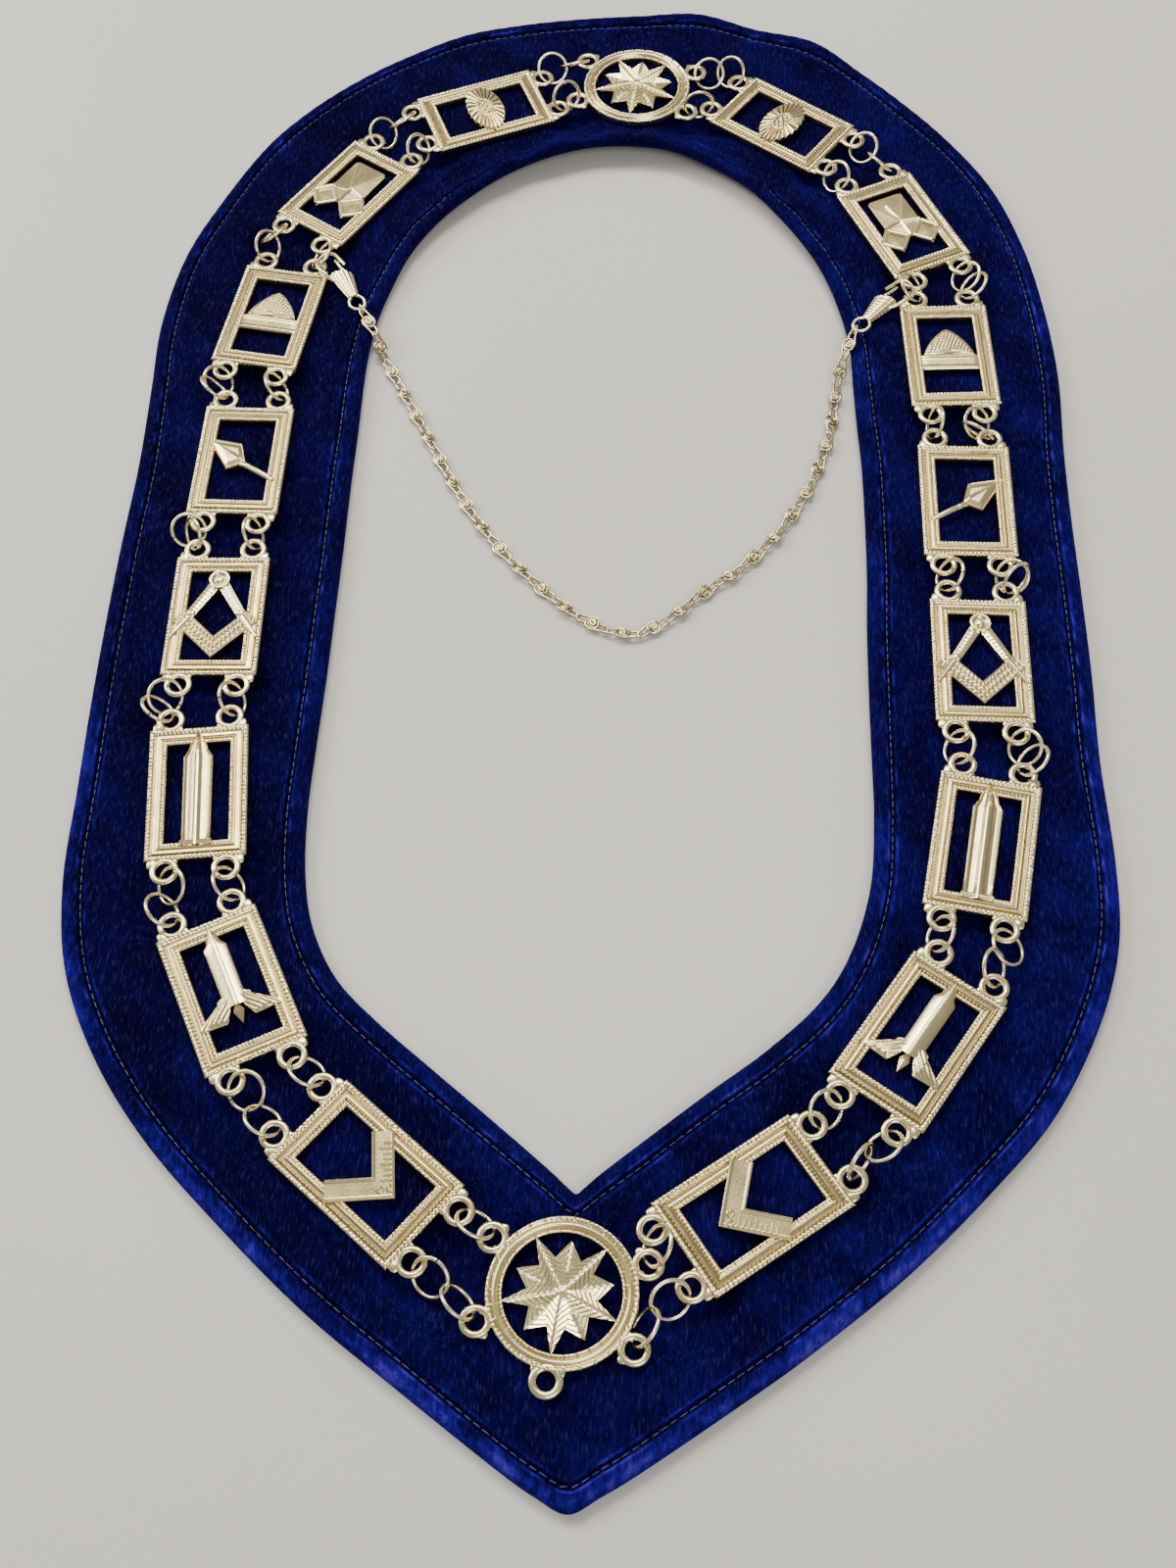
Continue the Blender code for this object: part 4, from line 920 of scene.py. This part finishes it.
def shaft(halves, heights, rim, depth, waves):
    """Upright bar: one section carried up a short table of half widths.

    The section rises by a low arch and by waves, a function of the place across it from -1 to 1.
    """
    low = 0.35
    v = [np.linspace(start, end, 8, endpoint=False) for start, end in zip(heights, heights[1:])]
    v = np.concatenate(v + [heights[-1:]])
    half = np.interp(v, heights, halves)[:, None]
    v = v[:, None]
    x = np.linspace(-1.0, 1.0, 31)[None, :]
    top = rim + depth * (0.3 * (1 - x ** 2) + 0.7 * waves(x)) + 0 * half
    upper = np.dstack((half * x, v + 0 * x, top))
    left = np.dstack((-half, v, np.full_like(half, low)))
    right = np.dstack((half, v, np.full_like(half, low)))
    # Painted highlight on the ribs, painted shade on the panels between them and darkest at the sides.
    shade = np.hstack(([[0.0]], 0.22 + 0.7 * waves(x), [[0.0]]))
    return capped(np.hstack((left, upper, right)), shade)


def pillar():
    """Tall shaft on a plain foot, its shoulders stepping in to a pointed cap.

    One ridge runs down its middle and one along each edge.
    """
    def three_ribs(x):
        return np.maximum(hump(x, 0.0, 0.19), 0.85 * hump(np.abs(x), 0.88, 0.12))

    heights = (-16.2, -14.6, -14.4, 9.4, 10.6, 12.6, 14.0, 16.6, 18.2)
    halves = (4.3, 4.3, 3.9, 4.0, 4.0, 2.8, 2.4, 1.2, 0.3)
    return [shaft(halves, heights, 1.8, 1.0, three_ribs),
            gable((-4.2, -15.2), (4.2, -15.2), 1.2, 1.2, 0.6, 2.3, 2.8)]


def winged_shaft():
    """Shaft with a pointed cap over two swept wings with a drop hanging between them.

    The shaft slopes down to each side from a flat strip along its middle.
    """
    def two_slopes(x):
        return np.where(np.abs(x) < 0.17, 1.0, 0.85 * (1 - np.abs(x)) ** 0.8)

    def feathers(r, u, v):
        return 0.55 * (1 - r) + 0.14 * np.sin(2 * np.pi * (np.abs(u) + v) / 1.5) * (r < 0.93)

    heights = (-5.0, -2.0, 12.2, 12.8, 13.6, 15.4, 17.6)
    halves = (3.2, 2.9, 3.0, 2.6, 1.9, 1.5, 0.3)
    wing = np.array(((0.6, -1.7), (3.1, -1.9), (4.3, -2.6), (4.6, -3.5), (10.2, -7.5), (10.5, -8.8),
                     (3.7, -9.1), (2.1, -6.2)))
    drop = polygon(((0.0, -3.4), (1.4, -6.7), (0.0, -10.3), (-1.4, -6.7)), 5)
    patches = [shaft(halves, heights, 2.0, 0.9, two_slopes)]
    for way in (-1, 1):
        outline = polygon(wing * (way, 1), 7)
        patches.append(relief(outline, (way * 4.6, -5.9), 0.3, 2.25, feathers, 22))
    patches.append(relief(drop, (0.0, -6.6), 0.3, 2.1, pyramid(0.9), 6))
    return patches


def builders_square():
    """Flat square with its corner towards the front, short graduations and two small rings."""
    tip = -9.9
    patches = [mitred_arms(tip, 5.4, 7.9, 2.7, 0.42)]
    along_arm = np.array((1.0, 1.0)) * math.sqrt(0.5)
    into_arm = np.array((-1.0, 1.0)) * math.sqrt(0.5)
    for k in range(8):
        near = (0.0, tip) + along_arm * (4.4 + 1.3 * k) + into_arm * 0.85
        far = near + into_arm * (2.6 if k % 3 == 0 else 1.8)
        patches.append(gable(near, far, 0.6, 0.6, 2.3, 2.65, 2.9))
    for u, v in ((-0.9, -5.9), (0.9, -7.3)):
        patches.append(torus(u, v, 2.6, 0.75, 0.3, 0.35, 18, 8))
    return patches


EMBLEMS = (
    sunburst, three_squares, beehive, trowel, square_compasses, pillar, winged_shaft, builders_square)


def make_plates(material):
    """Sixteen cast links: moulding, eyes and emblem, set where their solids are.

    The trowels point away from the neck on both sides, so the right one is a mirror image.
    """
    for name, plates in (("left", LEFT_PLATES), ("right", RIGHT_PLATES)):
        for number, (emblem, (x, y, heading)) in enumerate(zip(EMBLEMS, plates), start=1):
            figure = emblem()
            if emblem is trowel and name == "right":
                figure = [(grid * (-1.0, 1.0, 1.0), *rest) for grid, *rest in figure]
            patches = [moulded_frame()] + corner_eyes() + figure
            patches = placed(patches, x, y, PLATE_BASE, heading - 90.0)
            add_piece(f"link_{name}_{number}_{emblem.__name__}", patches, material,
                      sharp=46.0, replaced=(f"plate_{name}_{number}",))


def star(reach, valley, first, low, rim, peak, pitch, depth):
    """Five-pointed star folded to a ridge on every arm, hatched like a herringbone.

    The grooves run by distance along an arm plus a share of the distance across it.
    """
    a = np.radians(first + 36.0 * np.arange(10))
    radius = np.where(np.arange(10) % 2 == 0, reach, valley)
    outline = polygon(np.column_stack((radius * np.cos(a), radius * np.sin(a))), 16)

    def rise(r, u, v):
        far = np.hypot(u, v)
        turn = np.arctan2(v, u) - math.radians(first)
        off = np.abs((turn + np.pi / 5) % (2 * np.pi / 5) - np.pi / 5)
        phase = (far * np.cos(off) + 1.1 * far * np.sin(off)) / pitch
        groove = depth * (phase % 1.0) ** 0.8 * np.clip(far / 3.0, 0.25, 1)
        return peak * (1 - r) + groove * clamp(np.sin(off) * far / 0.45)

    return relief(outline, (0.0, 0.0), low, rim, rise, 56, 0.68)


def medal_eye_place():
    """Distances of a medallion's eyes from its centre, across it and up it."""
    angle = math.radians(MEDAL_EYE_ANGLE)
    return MEDAL_EYE_OUT * math.cos(angle), MEDAL_EYE_OUT * math.sin(angle)


def medallion():
    """Round rim with two rows of beads beside a moulded ridge, two stars and four eyes."""
    pitch = 2 * np.pi / 90
    a = full_turn(300)[:, None]
    r = np.concatenate((
        [MEDAL_OUTSIDE], np.linspace(MEDAL_OUTSIDE, 16.8, 5), np.linspace(16.6, 14.7, 9),
        np.linspace(14.55, MEDAL_INSIDE, 5), [MEDAL_INSIDE]))[None]
    ridge = 0.85 * np.cos(np.clip(r - 15.7, -1, 1) * np.pi / 2) ** 1.1
    outer = bead_row(r, a, 17.3, 0.52, 0.69, pitch, 0.35)
    inner = bead_row(r, a, 14.2, 0.4, 0.48, pitch, 0.4)
    z = FACE_HEIGHT + ridge + outer + inner
    z[:, [0, -1]] = 0.0
    # Painted highlight on the bead rows and the ridge, painted shade in the channels between them.
    shade = clamp(0.3 + 0.4 * ridge + 1.2 * outer + 1.3 * inner)
    patches = [(np.dstack((r * np.cos(a), r * np.sin(a), z)), shade, True, True),
               star(12.0, 7.3, 90.0, 0.3, 1.5, 0.8, 1.5, 0.34),
               star(14.4, 5.4, -90.0, 0.6, 1.75, 1.4, 1.4, 0.4)]
    out, up = medal_eye_place()
    for way_x in (-1, 1):
        for way_y in (-1, 1):
            patches.append(eye(way_x * out, way_y * up))
            patches.append(pebble(way_x * (out - 2.2), way_y * (up + 2.6), 1.25, 1.3, 1.1, 0.5))
            patches.append(pebble(way_x * (out - 1.6), way_y * (up - 2.7), 1.25, 1.2, 1.1, 0.5))
    return patches


def jewel_loop():
    """The empty loop below the front medallion, with a lump of metal on each side of its foot."""
    patches = [torus(0.0, -LOOP_OUT, EYE_HEIGHT, 3.1, 1.0, 0.65, 40, 12)]
    for way in (-1, 1):
        patches.append(pebble(way * 3.1, -LOOP_OUT + 2.5, 1.25, 1.0, 1.3, 0.55))
    return patches


def make_medallions(material):
    """Star medallions at the back of the neck and at the front point."""
    for name, centre, extra in (("top", TOP_MEDAL, []), ("bottom", BOTTOM_MEDAL, jewel_loop())):
        patches = placed(medallion() + extra, *centre, PLATE_BASE, MEDAL_TURN)
        add_piece(f"star_medallion_{name}", patches, material,
                  sharp=46.0, replaced=(f"medallion_{name}",))


# Jump rings

def turned(x, y, degrees):
    """A point turned about the vertical."""
    a = math.radians(degrees)
    return x * math.cos(a) - y * math.sin(a), x * math.sin(a) + y * math.cos(a)


def plate_eye(plate, inner, down, side):
    """Place of one eye of a link: its inner or outer column, its lower or upper end."""
    x, y, heading = plate
    across = EYE_ACROSS * (-side if inner else side)
    along = (PLATE_LENGTH / 2 + EYE_BEYOND) * (-1.0 if down else 1.0)
    du, dv = turned(across, along, heading - 90.0)
    return np.array((x + du, y + dv, PLATE_BASE + EYE_HEIGHT))


def medal_eye(centre, side, high):
    """Place of one eye of a medallion."""
    out, up = medal_eye_place()
    dx, dy = turned(side * out, up if high else -up, MEDAL_TURN)
    return np.array((centre[0] + dx, centre[1] + dy, PLATE_BASE + EYE_HEIGHT))


def facing_eyes(side, plates):
    """Pairs of eyes that face each other across each gap: (outer pair, inner pair)."""
    gaps = []
    for number in range(len(plates) + 1):
        pairs = []
        for inner in (False, True):
            if number == 0:
                upper = medal_eye(TOP_MEDAL, side, not inner)
            else:
                upper = plate_eye(plates[number - 1], inner, True, side)
            if number == len(plates):
                lower = medal_eye(BOTTOM_MEDAL, side, inner)
            else:
                lower = plate_eye(plates[number], inner, False, side)
            pairs.append((upper, lower))
        gaps.append(pairs)
    return gaps


def spanning_ring(start, end, roll, side):
    """Centre and two unit axes of the ring that passes through start and end and bulges by roll."""
    span = end - start
    along = unit(span)
    outward = unit(np.array((-along[1], along[0], 0.0))) * side
    lift = np.cross(outward, along) * -side
    bulge = math.cos(math.radians(roll)) * outward + math.sin(math.radians(roll)) * lift
    half = min(np.linalg.norm(span) / 2, RING_RADIUS)
    return (start + end) / 2 + bulge * math.sqrt(RING_RADIUS ** 2 - half ** 2), along, bulge


def hooked_rings(start, end, row, side):
    """Frames of two rings that hook each other: one hangs in the eye at start, one spans to end."""
    heading, tilt, grip, roll = row
    heading, tilt, grip = (math.radians(value) for value in (heading, tilt, grip))
    along = unit(end - start)
    outward = np.array((-along[1], along[0], 0.0)) * side
    up = np.array(UP)
    away = math.cos(heading) * outward + math.sin(heading) * along
    level = np.cross(up, away)
    if level @ along < 0.0:
        level = -level
    rising = math.cos(tilt) * level + math.sin(tilt) * up
    centre = start + away * RING_RADIUS
    held = centre + RING_RADIUS * (math.sin(grip) * rising - math.cos(grip) * away)
    slack = unit(end - held) * RING_WIRE * 0.9
    return (centre, away, rising), spanning_ring(held - slack, end, roll, side)


def leaning_ring(x, y, z, towards, tilt):
    """Centre and two unit axes of a ring whose face looks up and leans in one direction."""
    a = math.radians(towards)
    b = math.radians(tilt)
    normal = np.array((math.cos(a) * math.sin(b), math.sin(a) * math.sin(b), math.cos(b)))
    level = unit(np.cross(normal, UP))
    return np.array((x, y, z)), level, np.cross(normal, level)


def jump_ring(centre, axis_a, axis_b, cut):
    """Bent wire ring whose two cut ends almost meet at one angle."""
    a = cut + np.linspace(RING_CUT, 2.0 * np.pi - RING_CUT, 44)[:, None]
    path = centre + RING_RADIUS * (axis_a * np.cos(a) + axis_b * np.sin(a))
    return tube(path, RING_WIRE * 1.06, 10, 0.7, up=np.cross(axis_a, axis_b))


def make_rings(material):
    """One ring in each inner gap and two hooked rings in each outer gap, on both sides."""
    rng = np.random.default_rng(21)
    for name, side, plates, table in (
            ("left", -1.0, LEFT_PLATES, LEFT_GAPS), ("right", 1.0, RIGHT_PLATES, RIGHT_GAPS)):
        gaps = zip(facing_eyes(side, plates), table)
        for number, ((outer, inner), (inner_roll, rise, *hooking, pulled)) in enumerate(gaps, start=1):
            pull = unit(outer[1] - outer[0]) * pulled
            first, second = hooked_rings(outer[0] + pull, outer[1] - pull, hooking, side)
            lift = np.array((0.0, 0.0, rise))
            single = spanning_ring(inner[0] + lift, inner[1] + lift, inner_roll, side)
            if number == CLIP_GAP:
                single = leaning_ring(*CLIP_RINGS[name])
            cuts = rng.uniform(0.0, 2.0 * np.pi, 3)
            pair = [jump_ring(*first, cuts[0]), jump_ring(*second, cuts[1])]
            add_piece(f"outer_rings_{name}_{number}", pair, material,
                      sharp=60.0, replaced=(f"rings_outer_{name}_{number}",))
            add_piece(f"inner_ring_{name}_{number}", [jump_ring(*single, cuts[2])], material,
                      sharp=60.0, replaced=(f"ring_inner_{name}_{number}",))


# Throat chain

def scroll_link():
    """A scroll link's wire as (along, across, out): a coil, an end loop, and the same turned round.

    The wire curls out from the middle, runs round one end and comes back under the coil. The
    other half is the first one turned by half a turn.
    """
    end = LINK_LENGTH / 2
    bend = (
        (-0.55, 0.1, 0.45), (0.3, 0.6, 0.5), (1.0, 0.0, 0.45), (0.35, -1.05, 0.3),
        (-1.15, -1.05, 0.15), (-1.95, 0.0, 0.1), (-1.4, 1.4, 0.1), (0.3, 1.8, 0.1), (1.8, 1.35, 0.0),
        (end - 1.8, 0.95, 0.0), (end - 0.5, 0.75, 0.0), (end, 0.0, 0.0), (end - 0.5, -0.75, 0.0),
        (end - 1.8, -0.95, 0.0), (2.2, -0.8, -0.1), (1.2, -0.35, -0.3), (0.0, 0.0, -0.42),
    )
    half = even(catmull(bend, 8), 70)
    return np.vstack((half, half[::-1][1:] * (-1, -1, 1)))


def make_chain(material):
    """Scroll links hooked end to end along the route, each rolled against the next."""
    stops = even(catmull(CHAIN_ROUTE, 12), LINK_COUNT * 8 + 1)[::8]
    rng = np.random.default_rng(4)
    link = scroll_link()
    patches = []
    for number, (start, end) in enumerate(zip(stops, stops[1:])):
        along = unit(end - start)
        side = unit(np.cross(along, UP))
        up = np.cross(side, along)
        roll = math.radians((15.0 if number % 2 else -15.0) + rng.uniform(-7, 7))
        across = math.cos(roll) * side + math.sin(roll) * up
        out = math.cos(roll) * up - math.sin(roll) * side
        stretch = (np.linalg.norm(end - start) + 2.3 * LINK_WIRE) / LINK_LENGTH
        path = ((start + end) / 2 + link[:, :1] * stretch * along
                + link[:, 1:2] * across + link[:, 2:] * out)
        # A low value: the chain wire gets painted shade.
        patches.append(tube(path, LINK_WIRE, 7, 0.34, up=out))
    add_piece("scroll_chain", patches, material, sharp=70.0, replaced=("throat_chain",))


# Clips

def clip_frame(side_name):
    """Foot, direction along the clip and direction across it."""
    (foot_x, foot_y), (top_x, top_y) = CLIP_PLACES[side_name]
    along = unit(np.array((top_x - foot_x, top_y - foot_y, 0.0)))
    way = 1.0 if side_name == "left" else -1.0
    return np.array((foot_x, foot_y, 0.0)), along, np.array((along[1], -along[0], 0.0)) * way


def clip_points(side_name, u, v, z):
    """Points of a clip: v from its loop to its hook, u towards the free end of its wire."""
    foot, along, across = clip_frame(side_name)
    u, v, z = (np.asarray(value, dtype=float)[..., None] for value in (u, v, z))
    return foot + along * v + across * u + np.array(UP) * z


def clip_sleeve(side_name):
    """Hollow flattened cone: outside from the loop to the slanted mouth, then back inside.

    The left sleeve is fluted along its length by a wave round it, the right one knurled by two
    waves crossing.
    """
    a = full_turn(72)[None, :]
    outside = np.linspace(0.0, 1.0, 40)
    inside = np.linspace(1.0, 0.25, 12)
    t = np.concatenate(([0.0], outside, inside, [0.25]))[:, None]
    shrink = np.concatenate(([0.0, 0.85], np.ones(39), np.full(12, 0.84), [0.0]))[:, None]
    if side_name == "left":
        pattern = np.cos(13 * a) * clamp(t * 12)
    else:
        pattern = 1.3 * np.cos(13 * a + 26 * t) * np.cos(13 * a - 26 * t)
    hidden = (np.arange(len(t)) > 41)[:, None]
    wave = np.where(hidden, 1.0, 1.0 + 0.06 * pattern) * shrink
    half = (1.45 + 1.85 * t ** 0.85) * wave
    thick = (0.95 + 0.55 * t) * wave
    u = half * np.cos(a)
    v = 5.0 + 9.8 * t - 0.3 * t * u + 0.9 * t ** 6 * np.abs(np.sin(a))
    z = CLIP_LOW + CLIP_CLIMB * v + thick * np.sin(a)
    # Painted shade inside the sleeve; painted highlight on the crests of the flutes and knurls,
    # painted shade in their troughs.
    return clip_points(side_name, u, v, z), np.where(hidden, 0.1, 0.4 + 0.3 * pattern), False, True


def end_ring(side_name):
    """Small closed ring standing in the clip's loop, which takes the chain's last link."""
    a = full_turn(30)
    path = clip_points(side_name, 0 * a, -0.55 + 1.5 * np.cos(a), 7.0 + 1.5 * np.sin(a))
    return tube(path, 0.32, 8, 0.75, closed=True, up=clip_frame(side_name)[2])


def make_clips(material):
    """Loop, sleeve, hook and sprung gate of both clips, and the ring that takes the chain."""
    half = np.array(CLIP_LOOP_HALF)
    loop = even(catmull(np.vstack((half[::-1] * (-1, 1), half)), 8), 60)
    hook = even(catmull(CLIP_HOOK, 8), 64)
    gate = even(catmull(GATE_ROUTE, 8), 20)
    gate_fat = np.full(20, GATE_WIRE)
    gate_fat[[0, -1]] = 0.8 * GATE_WIRE
    for name in ("left", "right"):
        foot = clip_points(name, loop[:, 0], loop[:, 1], CLIP_LOW + CLIP_CLIMB * loop[:, 1])
        patches = [tube(foot, CLIP_WIRE, 10, 0.75), clip_sleeve(name),
                   tube(clip_points(name, *hook.T), CLIP_WIRE, 10, 0.75), end_ring(name)]
        add_piece(f"wire_clip_{name}", patches, material,
                  sharp=50.0, replaced=(f"clasp_{name}",))
        spring = tube(clip_points(name, *gate.T), gate_fat, 10, 0.75)
        add_piece(f"sprung_gate_{name}", [spring], material,
                  sharp=60.0, replaced=(f"tongue_{name}",), body=f"gate_{name}")


# Floor, light and camera

def make_floor(material):
    """Wide flat table top under the collar."""
    mesh = bpy.data.meshes.new("table")
    corners = [(u * TABLE_HALF, v * TABLE_HALF, 0.0) for u, v in ((-1, -1), (1, -1), (1, 1), (-1, 1))]
    mesh.from_pydata(corners, [], [(0, 1, 2, 3)])
    mesh.materials.append(material)
    table = bpy.data.objects.new("table", mesh)
    bpy.context.scene.collection.objects.link(table)


def make_lights():
    """Soft ceiling panel behind the collar, fills at the left and in front, and a room tone."""
    for name, place, target, width, depth, power, colour in LIGHTS:
        light = bpy.data.lights.new(name, "AREA")
        light.shape = "RECTANGLE"
        light.size = width
        light.size_y = depth
        light.energy = power
        light.color = colour
        lamp = bpy.data.objects.new(name, light)
        lamp.location = place
        lamp.rotation_euler = (Vector(target) - Vector(place)).to_track_quat("-Z", "Y").to_euler()
        bpy.context.scene.collection.objects.link(lamp)
    world = bpy.data.worlds.new("room")
    world.use_nodes = True
    background = world.node_tree.nodes["Background"]
    background.inputs["Color"].default_value = ROOM_TONE
    background.inputs["Strength"].default_value = ROOM_STRENGTH
    bpy.context.scene.world = world


def make_camera():
    """Camera above the front point, looking down at 60 degrees and rolled a little."""
    place = Vector(CAMERA_PLACE)
    roll = math.radians(CAMERA_ROLL)
    forward = (Vector(CAMERA_TARGET) - place).normalized()
    right = forward.cross(Vector(UP)).normalized()
    up = right.cross(forward)
    across = right * math.cos(roll) + up * math.sin(roll)
    upward = up * math.cos(roll) - right * math.sin(roll)
    data = bpy.data.cameras.new("camera")
    data.sensor_fit = "VERTICAL"
    data.sensor_height = SENSOR_HEIGHT
    data.lens = CAMERA_LENS
    camera = bpy.data.objects.new("camera", data)
    facing = Matrix((across, upward, -forward)).transposed()
    camera.matrix_world = Matrix.Translation(place) @ facing.to_4x4()
    bpy.context.scene.collection.objects.link(camera)
    bpy.context.scene.camera = camera


def main():
    """Build the collar on its table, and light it."""
    # Each metal runs from its painted shade colour through its middle colour to its painted highlight
    # colour.
    silver = cast_metal(
        "cast silver tone", (0.28, 0.22, 0.12), (0.72, 0.59, 0.31), (1.0, 0.9, 0.53),
        polished=0.2, dull=0.3, grain=0.12)
    wire = cast_metal(
        "bright wire", (0.26, 0.2, 0.1), (0.76, 0.64, 0.36), (1.0, 0.9, 0.56),
        polished=0.2, dull=0.3, grain=0.06)
    # The chain's darker colours are painted shade between and under its links.
    links = cast_metal(
        "chain wire with painted shade", (0.07, 0.052, 0.024), (0.46, 0.37, 0.19), (1.0, 0.88, 0.52),
        polished=0.16, dull=0.26, grain=0.06)
    make_camera()
    make_lights()
    make_floor(floor_material())
    curve = velvet_curve()
    make_velvet(curve, velvet_material())
    make_stitches(curve, thread_material())
    make_plates(silver)
    make_medallions(silver)
    make_rings(wire)
    make_chain(links)
    make_clips(wire)


main()
